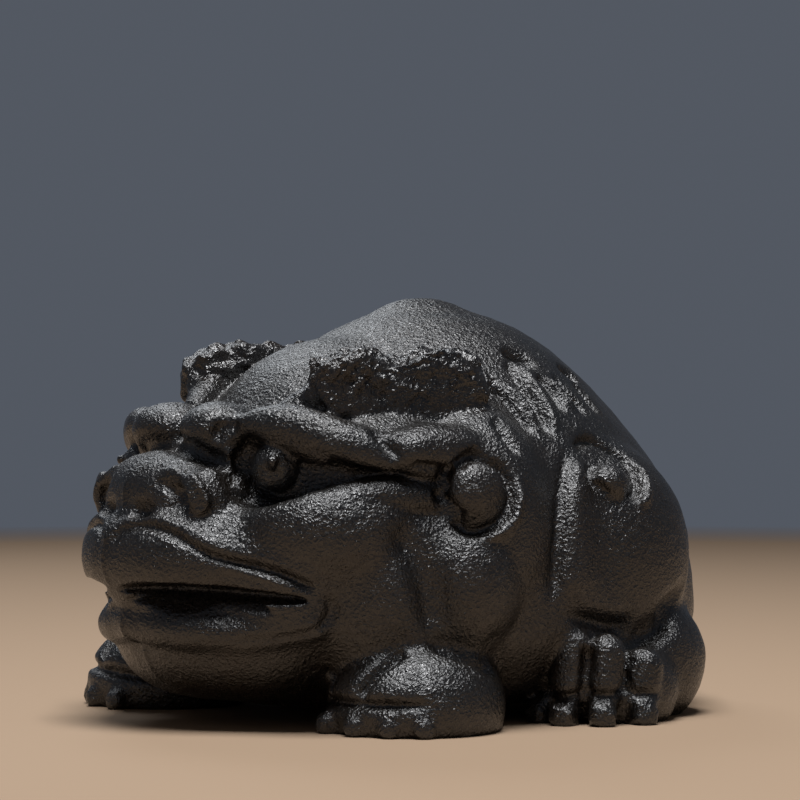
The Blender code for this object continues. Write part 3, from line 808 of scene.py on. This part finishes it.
@dataclass
class Carving:
    """Everything that a tool has drawn in the clay."""

    folds: tuple[Stroke, ...] = (
        # Eye socket, a broad hollow under the brow that narrows to a groove at the brow's tail
        Stroke(((9, -34.2, 32.2, 1.6, 0.8), (12.4, -33.4, 32.4, 2.8, 2), (16.5, -31.4, 32.4, 3.4, 2.6),
         (20.4, -28.2, 31.8, 2.6, 2.2), (23.6, -23.4, 30.8, 1.4, 1.7), (26.3, -15.5, 30.4, 1, 1.2))),
        # Lower half of the socket, under the eyeball
        Stroke(((11, -34, 30.2, 1.2, 0.6), (14.6, -32.6, 28.8, 1.6, 1.2), (18.4, -30.6, 29, 1.6, 1.1),
         (21.4, -28, 30, 1.3, 0.7))),
        # Valley between the nose and the brows
        Stroke(((0, -35, 34.6, 1.5, 0.7), (4, -34.8, 34.2, 1.6, 0.9), (8, -34.2, 33, 1.6, 0.9),
         (10.5, -33.6, 31.8, 1.4, 0.6)), fade=0.04),
        # Neck crease between the jowl and the upper arm
        Stroke(((25.5, -20, 26, 2, 0.6), (28.5, -17.6, 20.5, 2.8, 1.2), (29.3, -16.4, 14.6, 2.6, 1.2),
         (28, -17, 10.5, 2, 0.7))),
        # Upper arm, folded down on the foot
        Stroke(((26.8, -17.4, 11.2, 1.2, 0.6), (30, -14, 10.4, 1.3, 1.1), (31.8, -8.6, 9.2, 1.3, 1.3),
         (31.2, -4.4, 10, 1.2, 0.8)), fade=0.3),
        # Front edge of the haunch, the haunch standing out of the flank
        Stroke(((26.2, 8.4, 34.4, 1, 0.6), (28.2, 5.6, 30.4, 1.2, 0.7), (29.4, 4, 26.6, 1.4, 0.7),
         (30.5, 2.8, 21, 1.8, 0.8), (30.8, 2.2, 15, 2, 0.7)), step=1, fall=8, fade=0.16),
        # Fold of the haunch over the hind foot
        Stroke(((29.6, 1.5, 14.4, 1.2, 0.5), (31, 6, 13.2, 1.4, 1.2), (32, 12, 11.6, 1.6, 1.4),
         (31.8, 18, 11.6, 1.7, 1.4), (31, 22.5, 14.6, 1.6, 1.2), (29.4, 26.5, 18, 1.3, 0.6))),
    )
    marks: tuple[Stroke, ...] = (
        # Upper lip: the cheek stands a little over it in a long bow
        Stroke(((0.9, -43.3, 22, 0.6, 0.4), (2.2, -42.6, 24, 0.7, 0.7), (5, -41.8, 24.9, 0.7, 0.8),
         (9, -40, 23.8, 0.7, 0.8), (13.8, -37.4, 21.6, 0.7, 0.7), (19.9, -32, 19.6, 0.8, 0.7),
         (22.8, -28.2, 17.6, 0.8, 0.7)), step=0.4, fall=3, fade=0.07),
        # Lit rim of the upper lip toward the corner
        Stroke(((13.5, -37.4, 20.6, 0.6, -0.2), (18, -33.6, 19.2, 0.7, -0.4),
         (21.6, -29.6, 17.6, 0.7, -0.25))),
        # Fold round the corner of the mouth and along the lower lip
        Stroke(((22.8, -28.2, 17.4, 0.9, 0.5), (23.8, -26.8, 15.2, 1, 0.6), (22.8, -27.4, 13.2, 0.9, 0.5),
         (19.5, -30.6, 11.8, 0.8, 0.4), (13.5, -35.6, 11.4, 0.8, 0.3)), fade=0.16),
        # Brow: a line between the inner lobe and the outer brow
        Stroke(((12, -33.5, 39, 0.9, 0.3), (10.6, -34.8, 36.6, 1.1, 0.9),
         (9.6, -34.8, 34, 1, 0.7))),
        # Nose: curl of the wing, and the nostril inside it
        Stroke(((4.5, -39, 32, 0.9, -0.3), (8.6, -38, 30.6, 1, -0.6), (10, -37, 28.2, 1, -0.7),
         (8.6, -38, 26, 0.9, -0.3))),
        Stroke(((4.6, -40.2, 30.2, 0.8, 0.3), (7.2, -39.4, 29.6, 0.9, 0.6), (8.2, -38.8, 28, 0.9, 0.6),
         (7.2, -39.6, 26.8, 0.8, 0.3))),
        Stroke(((1.8, -41.6, 26.6, 1.1, 0.6), (3.8, -41.2, 26.6, 1.3, 0.9), (5.8, -40.4, 26.6, 1.1, 0.5))),
        # Ear: the groove under its lobe, and the line that parts it from the brow
        Stroke(((27.4, -18.5, 32.6, 0.8, 0.5), (28, -15.5, 32.2, 0.9, 0.9), (27.4, -12, 32.3, 0.8, 0.6))),
        Stroke(((24, -21.5, 37, 0.9, 0.4), (26.2, -20.6, 34.8, 1, 1),
         (27, -19.2, 32.8, 0.8, 0.5))),
        # Feathers on the back: two hooked pits, the grooves that hang from them and the ribs between
        Stroke(((15.4, 5.2, 46.3, 1, 0.9), (16, 7.2, 46.2, 1.2, 1.3), (17, 8.7, 45.5, 1.1, 1.2),
         (18.4, 9, 44.5, 0.9, 0.7))),
        Stroke(((15.4, 14.6, 44.6, 0.9, 0.7), (15.2, 16.8, 43.9, 1.1, 1.2),
         (16.2, 18.4, 43, 0.75, 0.75))),
        Stroke(((19.6, 0.6, 43.2, 0.8, 0.5), (21.6, 1.8, 40.6, 0.75, 0.75), (23.9, 2.6, 38.2, 0.75, 0.75),
         (26, 3.3, 36, 0.8, 0.5))),
        Stroke(((15.6, 5.6, 45.8, 0.7, 0.7), (18.4, 5.2, 43.4, 0.75, 0.85), (21, 5.6, 41, 0.75, 0.85),
         (23.4, 6, 38.6, 0.75, 0.8), (26.2, 5.8, 35.2, 0.8, 0.5))),
        Stroke(((18.4, 9, 44.3, 0.7, 0.7), (19.6, 9.9, 42.2, 0.7, 0.75), (21, 10.3, 40.2, 0.7, 0.7),
         (22.8, 10.2, 38.4, 0.7, 0.5))),
        Stroke(((17.6, 12.2, 44, 0.8, 0.6), (19.6, 12.9, 42, 0.7, 0.7), (20.8, 14.2, 40.1, 0.7, 0.7),
         (22.4, 14.6, 38.2, 0.7, 0.5))),
        Stroke(((16.8, 16.2, 43.3, 0.7, 0.6), (19, 17.4, 41, 0.8, 0.7), (20.6, 18.4, 38.7, 0.7, 0.5))),
        Stroke(((26, -4.2, 38.9, 0.9, 0.5), (28.6, -3.7, 36, 1, 0.8), (30.2, -2.8, 33.4, 0.9, 0.5))),
        Stroke(((20.2, 2.4, 42.8, 0.7, -0.4), (21.8, 3.8, 40.8, 0.8, -0.5), (24.8, 4.7, 37.6, 0.7, -0.4))),
        Stroke(((16.8, 7.2, 45, 0.7, -0.5), (19.8, 7.2, 42.9, 0.8, -0.6), (22.8, 7.6, 39.6, 0.8, -0.6),
         (25.8, 7.2, 36, 0.7, -0.4))),
        Stroke(((18.6, 10.8, 43.6, 0.6, -0.4), (20.9, 12, 41.3, 0.7, -0.5),
         (22.4, 12.8, 39.4, 0.6, -0.4))),
        # Haunch: a groove over its head that turns in to a hook, and the rim outside it
        Stroke(((26.2, 9, 34.6, 0.8, 0.8), (25.2, 11.8, 35.7, 0.8, 0.9), (25, 13.8, 35.6, 0.8, 0.9),
         (26.6, 16.6, 33.8, 0.8, 1), (29.2, 17, 31.8, 0.8, 1), (31, 15.8, 29.6, 0.8, 1),
         (31.5, 13.6, 28.4, 0.7, 0.6)), fade=0.1),
        Stroke(((27.2, 18.2, 33, 0.7, -0.4), (29.8, 18.4, 30.8, 0.8, -0.6), (31.6, 17, 28.4, 0.8, -0.6),
         (32, 14.6, 27, 0.7, -0.3))),
        # Toes of the fore foot: two grooves down its dome and a ledge over the claws
        Stroke(((18.2, -20, 9.4, 0.8, 0.6), (18.7, -23.2, 7.2, 0.9, 1.2),
         (19, -25.2, 4.4, 0.9, 1)), fade=0.15),
        Stroke(((28.2, -19, 10.2, 0.8, 0.6), (27.4, -22.2, 8.6, 0.9, 1.2), (26.6, -24.4, 6.6, 0.9, 1.3),
         (26.2, -25.6, 4.2, 0.9, 1)), fade=0.15),
        Stroke(((15, -23.6, 4.1, 0.7, 0.8), (20.5, -25.6, 4, 0.8, 1), (26, -25.6, 4, 0.8, 1),
         (30.8, -23.2, 4, 0.8, 0.9), (34.2, -18.6, 4, 0.7, 0.4)), fade=0.12),
        # Toes of the hind foot: two grooves between them and a ledge over the claws
        Stroke(((30.2, 8.4, 11.6, 0.7, 0.5), (31, 6.9, 8, 0.8, 0.9),
         (31.2, 6.4, 3.8, 0.7, 0.7)), fade=0.12),
        Stroke(((33, 11.8, 10.2, 0.7, 0.5), (34.1, 10.5, 7.2, 0.8, 0.9),
         (34.5, 10.1, 3.6, 0.7, 0.7)), fade=0.12),
        Stroke(((22.5, 5.8, 4, 0.7, 0.4), (28.4, 3.8, 4, 0.8, 0.7), (33.4, 6.4, 4, 0.8, 0.7),
         (36, 11.8, 3.9, 0.8, 0.7), (35.8, 16.4, 3.8, 0.7, 0.3)), fade=0.12),
    )
    nose_curls: tuple[Stroke, ...] = (
        # Rim of the nose's wing, and the groove inside it
        Stroke(((8.5, -38.3, 30.5, 0.7, -0.5), (11.2, -37.6, 29.2, 0.8, -0.8),
         (11.5, -37.3, 27.6, 0.8, -0.8), (10, -38.2, 26.1, 0.7, -0.5))),
        Stroke(((7.6, -38.9, 29.8, 0.7, 0.4), (9.4, -38.4, 29, 0.8, 0.9), (9.6, -38.2, 27.7, 0.8, 0.9),
         (8.6, -38.7, 26.7, 0.7, 0.4))),
    )
    rings: tuple[Ring, ...] = (
        # Round the pupil, round the shoulder's boss with a raised rim below, and round the haunch's
        Ring((17.5, -31.5, 32.6), (0.74, -0.66, 0.12), 1.75, 0, 360, 0.55, 0.45),
        Ring((30.2, -9.8, 29.3), (0.86, -0.45, 0.24), 4.7, 0, 360, 0.8, 0.9),
        Ring((30.2, -9.8, 29.3), (0.86, -0.45, 0.24), 5.9, 60, 190, 0.9, -0.7),
        Ring((29.7, 12.2, 30.6), (0.84, -0.02, 0.54), 3.1, 170, 350, 0.7, 0.6),
    )
    seams: tuple[Stroke, ...] = (
        # Seam of the mould down the nose and the upper lip, and down the chin
        Stroke(((0, -40.5, 31, 0.4, -0.16), (0.15, -43, 25.5, 0.35, -0.2),
         (-0.1, -43.5, 20.5, 0.35, -0.16), (0.1, -42, 17.5, 0.35, -0.1)), fade=0.1),
        Stroke(((0.1, -42, 13.5, 0.35, -0.16), (0, -40, 9, 0.4, -0.2),
         (0.1, -36, 4.5, 0.35, -0.12)), fade=0.1),
    )


@dataclass
class TeaPet:
    """The whole beast, one piece of fired clay."""

    bench: Workbench = field(default_factory=Workbench)
    torso: Torso = field(default_factory=Torso)
    face: Face = field(default_factory=Face)
    feet: Feet = field(default_factory=Feet)
    horns: Horns = field(default_factory=Horns)
    carving: Carving = field(default_factory=Carving)
    bosses: tuple[Lump, ...] = (
        Lump((28.0, -8.9, 29.2), (3.8, 4.5, 4.4)),
        Lump((28.3, 12.4, 29.8), (2.8, 3.0, 2.6)),
    )
    triangles: int = 190000
    unevenness: float = 0.09
    wave_grains: Spot = (0.32, 0.85)
    fine_waves: float = 0.5
    sole_height: float = 0.05
    middle: np.ndarray = field(default_factory=lambda: np.zeros(3))

    def build(self) -> Body:
        """Build the beast.

        Returns:
            The finished object, in metres.
        """
        bench = self.bench
        clay = bmesh.new()
        self.feet.press_limbs(bench, clay)
        self.face.press_features(bench, clay)
        trunk = self.torso.build(bench)
        LOG.info("trunk: %d faces", len(trunk.polygons))
        skin = bench.fuse(bench.mesh_of(clay, "limbs", trunk), bench.limb_weld)
        bench.carve(skin, self.carving.folds)
        skin = self.face.cut_mouth(bench, skin)
        LOG.info("limbs, face and mouth: %d faces", len(skin.polygons))
        clay = bmesh.new()
        self.face.press_eyes(bench, clay)
        self.horns.press_horns(bench, clay)
        self.feet.press_toes(bench, clay)
        for lump in self.bosses:
            bench.lump(clay, lump)
        skin = bench.fuse(bench.mesh_of(clay, "details", skin), bench.detail_weld)
        bench.carve(skin, self.carving.marks)
        bench.carve(skin, self.carving.nose_curls)
        bench.carve(skin, [ring.stroke() for ring in self.carving.rings])
        skin = bench.fuse(skin, bench.last_weld)
        LOG.info("eyes, horns, toes and carving: %d faces", len(skin.polygons))
        bench.carve(skin, self.carving.seams, sides=(1,))
        self.horns.break_faces(skin)
        self.fire(skin)
        skin = self.flat_soles(self.thin_out(skin))
        self.centre_box(skin)
        return self.dressed(skin)

    def fire(self, mesh: Mesh) -> None:
        """Give the skin the slight waves of hand-pressed, fired clay."""
        broad, fine = self.wave_grains
        rise = np.array(
            [
                noise.noise(Vector(p) * broad) + self.fine_waves * noise.noise(Vector(p) * fine)
                for p in points_of(mesh)
            ]
        )
        lift_points(mesh, self.unevenness * rise)

    def thin_out(self, skin: Mesh) -> Mesh:
        """Return the skin with fewer triangles, most of them where it bends most."""
        body = linked(skin)
        faces = sum(len(f.vertices) - 2 for f in skin.polygons)
        fewer = body.modifiers.new("Fewer", "DECIMATE")
        fewer.ratio = min(1.0, self.triangles / faces)
        fewer.use_collapse_triangulate = True
        return self.bench.finished(body)

    def flat_soles(self, skin: Mesh) -> Mesh:
        """Return the skin with its feet cut off flat at the floor."""
        clay = bmesh.new()
        clay.from_mesh(skin)
        everything = [*clay.verts, *clay.edges, *clay.faces]
        down = (0, 0, -1)
        bmesh.ops.bisect_plane(
            clay, geom=everything, dist=1e-4, plane_co=HERE, plane_no=down, clear_outer=True
        )
        rims = [edge for edge in clay.edges if edge.is_boundary]
        bmesh.ops.holes_fill(clay, edges=rims, sides=0)
        return self.bench.mesh_of(clay, PIECE)

    def centre_box(self, mesh: Mesh) -> None:
        """Move the mesh so that the middle of its box in plan is at the origin."""
        points = points_of(mesh)
        middle = (points.min(axis=0) + points.max(axis=0)) / 2
        middle[2] = 0
        self.middle = middle
        move_points(mesh, points - middle)

    def dressed(self, skin: Mesh) -> Body:
        """Scale the skin to metres and give each of its surfaces its finish.

        Args:
            skin: the finished skin, in millimetres.

        Returns:
            The object of the beast.
        """
        centres = rows_of(skin.polygons, "center")
        broken = self.horns.share(centres + self.middle) > 0.5
        surfaces = np.where(broken, Surface.BROKEN.value, Surface.RUBBED.value)
        surfaces[centres[:, 2] < self.sole_height] = Surface.SOLE.value
        skin.transform(Matrix.Scale(MM, 4))
        skin.polygons.foreach_set("use_smooth", centres[:, 2] >= self.sole_height)
        for finish in (RUBBED_CLAY, BROKEN_CLAY, SOLE_CLAY):
            skin.materials.append(finish.material())
        skin.polygons.foreach_set("material_index", surfaces.astype(np.int32))
        return linked(skin)


# Finishes


class NodeBook:
    """Places nodes in a node tree and joins them up."""

    spacing: float = 200

    def __init__(self, tree: bpy.types.NodeTree) -> None:
        """Start with an existing tree."""
        self.tree = tree
        self.column = 0

    def add(self, kind: str, *feeds: object, **values: object) -> bpy.types.Node:
        """Add a node.

        Args:
            kind: the node's type, such as ShaderNodeTexNoise.
            feeds: what goes into its inputs, in order.
            values: its properties, and what goes into its inputs by name with _ for a space.

        Returns:
            The node.
        """
        node = self.tree.nodes.new(kind)
        node.location = (self.spacing * self.column, 0)
        self.column += 1
        self.fill(node, **values)
        for socket, value in zip(node.inputs, feeds):
            self.feed(socket, value)
        return node

    def fill(self, node: bpy.types.Node, **values: object) -> None:
        """Set a node's properties, and feed its inputs.

        Args:
            node: the node.
            values: each property's value or input's feed by name, with _ for a space.
        """
        for name, value in values.items():
            if hasattr(node, name):
                setattr(node, name, value)
            else:
                self.feed(node.inputs[name.replace("_", " ")], value)

    def feed(self, socket: Socket, value: object) -> None:
        """Feed an input.

        Args:
            socket: the input.
            value: the output that is joined to it, or a number, a vector or a colour.
        """
        if isinstance(value, Socket):
            self.tree.links.new(value, socket)
        elif socket.type == "RGBA":
            socket.default_value = (*value, 1)
        else:
            socket.default_value = value

    def math(self, operation: str, *values: object) -> Socket:
        """Return the output of a new Math node, fed in order with sockets or numbers."""
        return self.add("ShaderNodeMath", *values, operation=operation).outputs[0]

    def blend(
        self,
        share: Socket,
        first: Socket | Colour,
        second: Socket | Colour,
    ) -> Socket:
        """Blend two colours.

        Args:
            share: how much of the second is taken.
            first: the first colour.
            second: the second colour.

        Returns:
            The blended colour.
        """
        node = self.add("ShaderNodeMix", data_type="RGBA", Factor=share)
        colours = [socket for socket in node.inputs if socket.type == "RGBA"]
        for socket, colour in zip(colours, (first, second)):
            self.feed(socket, colour)
        return next(socket for socket in node.outputs if socket.type == "RGBA")

    def remap(
        self, value: Socket, low: float, high: float, start: float, end: float
    ) -> Socket:
        """Map a value from one range to another, without going past its ends.

        Args:
            value: the value.
            low: the low end of the range it comes from.
            high: the high end of that range.
            start: what the low end becomes.
            end: what the high end becomes.

        Returns:
            The mapped value.
        """
        ends = {"From_Min": low, "From_Max": high, "To_Min": start, "To_Max": end}
        return self.add("ShaderNodeMapRange", Value=value, **ends).outputs["Result"]


def new_group(name: str, inputs: dict[str, float], outputs: tuple[str, ...]) -> tuple:
    """Start a shader node group.

    Args:
        name: the group's name.
        inputs: its number inputs with their usual values.
        outputs: its number outputs.

    Returns:
        The group, a NodeBook of it, its input node and its output node.
    """
    group = bpy.data.node_groups.new(name, "ShaderNodeTree")
    for title, value in inputs.items():
        socket = group.interface.new_socket(title, in_out="INPUT", socket_type="NodeSocketFloat")
        socket.default_value = value
    for title in outputs:
        group.interface.new_socket(title, in_out="OUTPUT", socket_type="NodeSocketFloat")
    book = NodeBook(group)
    return group, book, book.add("NodeGroupInput"), book.add("NodeGroupOutput")


@dataclass(frozen=True)
class GrainGroup:
    """The pebbled grain of fired clay: its height, and where it is rubbed smooth or sparkles."""

    name: str = "Clay grain"
    bend_scale: float = 700.0
    bend_by: float = 0.0007
    coarse_share: float = 0.36
    glint_share: float = 1.3
    roughness: float = 0.55
    rubbed: Spot = (0.36, 0.66)
    glinting: Spot = (0.9, 0.95)

    def group(self) -> bpy.types.NodeTree:
        """Return the node group, made once."""
        if self.name in bpy.data.node_groups:
            return bpy.data.node_groups[self.name]
        group, book, given, result = new_group(
            self.name,
            {"Grains per metre": 2000.0, "Wrinkle": 1.0, "Pitting": 0.4},
            ("Height", "Rubbed", "Glint"),
        )
        place = book.add("ShaderNodeTexCoord").outputs["Object"]
        scale = given.outputs["Grains per metre"]
        bend = book.add("ShaderNodeTexNoise", Vector=place, Scale=self.bend_scale, Detail=2.0)
        bends = (bend.outputs["Color"], (self.bend_by,) * 3, place)
        bent = book.add("ShaderNodeVectorMath", *bends, operation="MULTIPLY_ADD").outputs["Vector"]
        grains = book.add(
            "ShaderNodeTexNoise", Vector=bent, Scale=scale, Detail=2.0, Roughness=self.roughness
        )
        wide = book.math("MULTIPLY", scale, self.coarse_share)
        coarse = book.add("ShaderNodeTexNoise", Vector=place, Scale=wide, Detail=2.0)
        wrinkled = book.math("MULTIPLY", grains.outputs["Fac"], given.outputs["Wrinkle"])
        sunk = book.math("MULTIPLY", coarse.outputs["Fac"], given.outputs["Pitting"])
        fine = book.math("MULTIPLY", scale, self.glint_share)
        glints = book.add("ShaderNodeTexVoronoi", feature="F1", Vector=place, Scale=fine)
        chance = book.add("ShaderNodeSeparateColor", Color=glints.outputs["Color"])
        book.fill(
            result,
            Height=book.math("ADD", wrinkled, sunk),
            Rubbed=book.remap(grains.outputs["Fac"], *self.rubbed, 0.0, 1.0),
            Glint=book.remap(chance.outputs["Red"], *self.glinting, 0.0, 1.0),
        )
        return group


@dataclass(frozen=True)
class ToneGroup:
    """The patches in which the clay is brown instead of near black."""

    name: str = "Clay tone"
    roughness: float = 0.55
    patchy: Spot = (0.35, 0.68)

    def group(self) -> bpy.types.NodeTree:
        """Return the node group, made once."""
        if self.name in bpy.data.node_groups:
            return bpy.data.node_groups[self.name]
        group, book, given, result = new_group(
            self.name, {"Patches per metre": 110.0}, ("Patch",)
        )
        place = book.add("ShaderNodeTexCoord").outputs["Object"]
        scale = given.outputs["Patches per metre"]
        patches = book.add(
            "ShaderNodeTexNoise", Vector=place, Scale=scale, Detail=4.0, Roughness=self.roughness
        )
        book.fill(result, Patch=book.remap(patches.outputs["Fac"], *self.patchy, 0.0, 1.0))
        return group


@dataclass(frozen=True)
class ClayFinish:
    """One finish of the black clay."""

    name: str
    dark: Colour = (0.0030, 0.0025, 0.0021)
    brown: Colour = (0.010, 0.0062, 0.0036)
    rub_tint: Colour = (0.006, 0.0054, 0.0048)
    rough_low: float = 0.24
    rough_high: float = 0.40
    grains: float = 2500.0
    wrinkle: float = 1.0
    pitting: float = 0.4
    bump_mm: float = 0.27
    bump_strength: float = 1.0
    specular: float = 0.9
    rub_share: float = 0.7
    glint_polish: float = 0.14

    def material(self) -> bpy.types.Material:
        """Return the material, with its nodes."""
        made = bpy.data.materials.new(self.name)
        made.use_nodes = True
        book = NodeBook(made.node_tree)
        shader = made.node_tree.nodes["Principled BSDF"]
        grain = book.add(
            "ShaderNodeGroup",
            node_tree=GrainGroup().group(),
            Grains_per_metre=self.grains,
            Wrinkle=self.wrinkle,
            Pitting=self.pitting,
        ).outputs
        patch = book.add("ShaderNodeGroup", node_tree=ToneGroup().group()).outputs["Patch"]
        rubbed = book.math("MULTIPLY", grain["Rubbed"], self.rub_share)
        rough = book.remap(grain["Rubbed"], 0.0, 1.0, self.rough_high, self.rough_low)
        polish = book.math("MULTIPLY", grain["Glint"], self.glint_polish)
        bump = book.add(
            "ShaderNodeBump",
            Strength=self.bump_strength,
            Distance=self.bump_mm * MM,
            Height=grain["Height"],
        )
        book.fill(
            shader,
            Base_Color=book.blend(rubbed, book.blend(patch, self.dark, self.brown), self.rub_tint),
            Roughness=book.math("SUBTRACT", rough, polish),
            Normal=bump.outputs["Normal"],
            Specular_IOR_Level=self.specular,
        )
        return made


RUBBED_CLAY = ClayFinish("rubbed_black_clay")
BROKEN_CLAY = ClayFinish(
    "broken_black_clay",
    brown=(0.016, 0.0095, 0.005),
    rough_low=0.18,
    rough_high=0.36,
    grains=2000.0,
    pitting=0.7,
    bump_mm=0.30,
)
SOLE_CLAY = ClayFinish(
    "bare_sole_clay",
    dark=(0.016, 0.014, 0.013),
    rough_low=0.6,
    rough_high=0.8,
    bump_strength=0.4,
)


# Studio


@dataclass(frozen=True)
class Softbox:
    """A square soft light: where it stands, its size and its power."""

    name: str
    place: Point
    size: float
    watts: float
    tint: Colour = (1.0, 1.0, 1.0)
    aim: Point = (0.0, 0.0, 0.025)

    def build(self) -> Body:
        """Return the lamp, hung and aimed."""
        lamp = bpy.data.lights.new(self.name, "AREA")
        lamp.size = self.size
        lamp.energy = self.watts
        lamp.color = self.tint
        made = linked(lamp)
        made.location = self.place
        facing = Vector(self.aim) - Vector(self.place)
        made.rotation_euler = facing.to_track_quat("-Z", "Y").to_euler()
        return made


@dataclass
class Studio:
    """Floor, air, lamps and the camera."""

    middle: np.ndarray
    camera_place: Point = (310.3, -232.8, 36.2)
    camera_heading: Point = (-0.7986, 0.6018)
    horizon_below_middle: float = 34.0
    pixels_of_distance: float = 2945.0
    frame_pixels: float = 800.0
    sensor: float = 36.0
    floor_colour: Colour = (0.42, 0.300, 0.205)
    floor_roughness: float = 0.85
    floor_specular: float = 0.2
    floor_size: float = 1.6
    air_colour: Colour = (0.086, 0.098, 0.121)
    room_light: Colour = (0.060, 0.054, 0.050)
    fade_centre: Point = (-0.20, 0.15, 0.0)
    fade_start: float = 0.36
    fade_end: float = 0.54
    lamps: tuple[Softbox, ...] = (
        Softbox("overhead", (0.090, -0.068, 0.54), 0.24, 3.5, (0.98, 0.985, 1.0)),
        Softbox("behind", (-0.43, 0.13, 0.40), 0.22, 0.6, (0.92, 0.96, 1.0)),
    )

    def build(self) -> None:
        """Build the whole studio."""
        self.floor()
        self.light()
        self.camera()
        LOG.info("studio: floor, %d lamps and camera", len(self.lamps))

    def floor_paint(self) -> bpy.types.Material:
        """Return the floor's paint, which fades into the colour of the air far away."""
        made = bpy.data.materials.new("studio_floor")
        made.use_nodes = True
        book = NodeBook(made.node_tree)
        shader = made.node_tree.nodes["Principled BSDF"]
        book.fill(
            shader,
            Base_Color=self.floor_colour,
            Roughness=self.floor_roughness,
            Specular_IOR_Level=self.floor_specular,
        )
        air = book.add("ShaderNodeEmission", Color=self.air_colour, Strength=1.0)
        place = book.add("ShaderNodeTexCoord").outputs["Object"]
        reach = book.add("ShaderNodeVectorMath", place, self.fade_centre, operation="DISTANCE")
        fade = book.remap(reach.outputs["Value"], self.fade_start, self.fade_end, 0.0, 1.0)
        mixed = book.add(
            "ShaderNodeMixShader", fade, shader.outputs["BSDF"], air.outputs["Emission"]
        )
        book.fill(made.node_tree.nodes["Material Output"], Surface=mixed.outputs["Shader"])
        return made

    def floor(self) -> None:
        """Lay a broad floor that takes the shadow."""
        made = bmesh.new()
        bmesh.ops.create_grid(made, x_segments=1, y_segments=1, size=self.floor_size)
        mesh = settled(made, "studio_floor")
        mesh.materials.append(self.floor_paint())
        linked(mesh)

    def light(self) -> None:
        """Hang the lamps and paint the room's dim light."""
        for lamp in self.lamps:
            lamp.build()
        world = bpy.data.worlds.new("studio_air")
        world.use_nodes = True
        bpy.context.scene.world = world
        book = NodeBook(world.node_tree)
        room = world.node_tree.nodes["Background"]
        book.fill(room, Color=self.room_light)
        seen = book.add("ShaderNodeBackground", Color=self.air_colour, Strength=1.0)
        path = book.add("ShaderNodeLightPath").outputs
        looked_at = book.math("MAXIMUM", path["Is Camera Ray"], path["Is Glossy Ray"])
        mixed = book.add(
            "ShaderNodeMixShader",
            looked_at,
            room.outputs["Background"],
            seen.outputs["Background"],
        )
        book.fill(world.node_tree.nodes["World Output"], Surface=mixed.outputs["Shader"])

    def camera(self) -> None:
        """Set the camera where the photograph was taken."""
        lens = bpy.data.cameras.new("camera")
        lens.sensor_width = self.sensor
        lens.lens = self.sensor * self.pixels_of_distance / self.frame_pixels
        lens.clip_start = 0.01
        made = linked(lens)
        made.location = (Vector(self.camera_place) - Vector(self.middle)) * MM
        pitch = math.atan(self.horizon_below_middle / self.pixels_of_distance)
        ahead = Vector(self.camera_heading) * math.cos(pitch)
        facing = Vector((ahead[0], ahead[1], math.sin(pitch)))
        made.rotation_mode = "QUATERNION"
        made.rotation_quaternion = facing.to_track_quat("-Z", "Y")
        scene = bpy.context.scene
        scene.camera = made
        scene.view_settings.view_transform = "Standard"


def main() -> None:
    """Load the frame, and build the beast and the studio."""
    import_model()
    beast = TeaPet()
    pet = beast.build()
    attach(pet, "root")
    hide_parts(NODE)
    LOG.info("%s: %d faces", pet.name, len(pet.data.polygons))
    Studio(beast.middle).build()


if __name__ == "__main__":
    main()
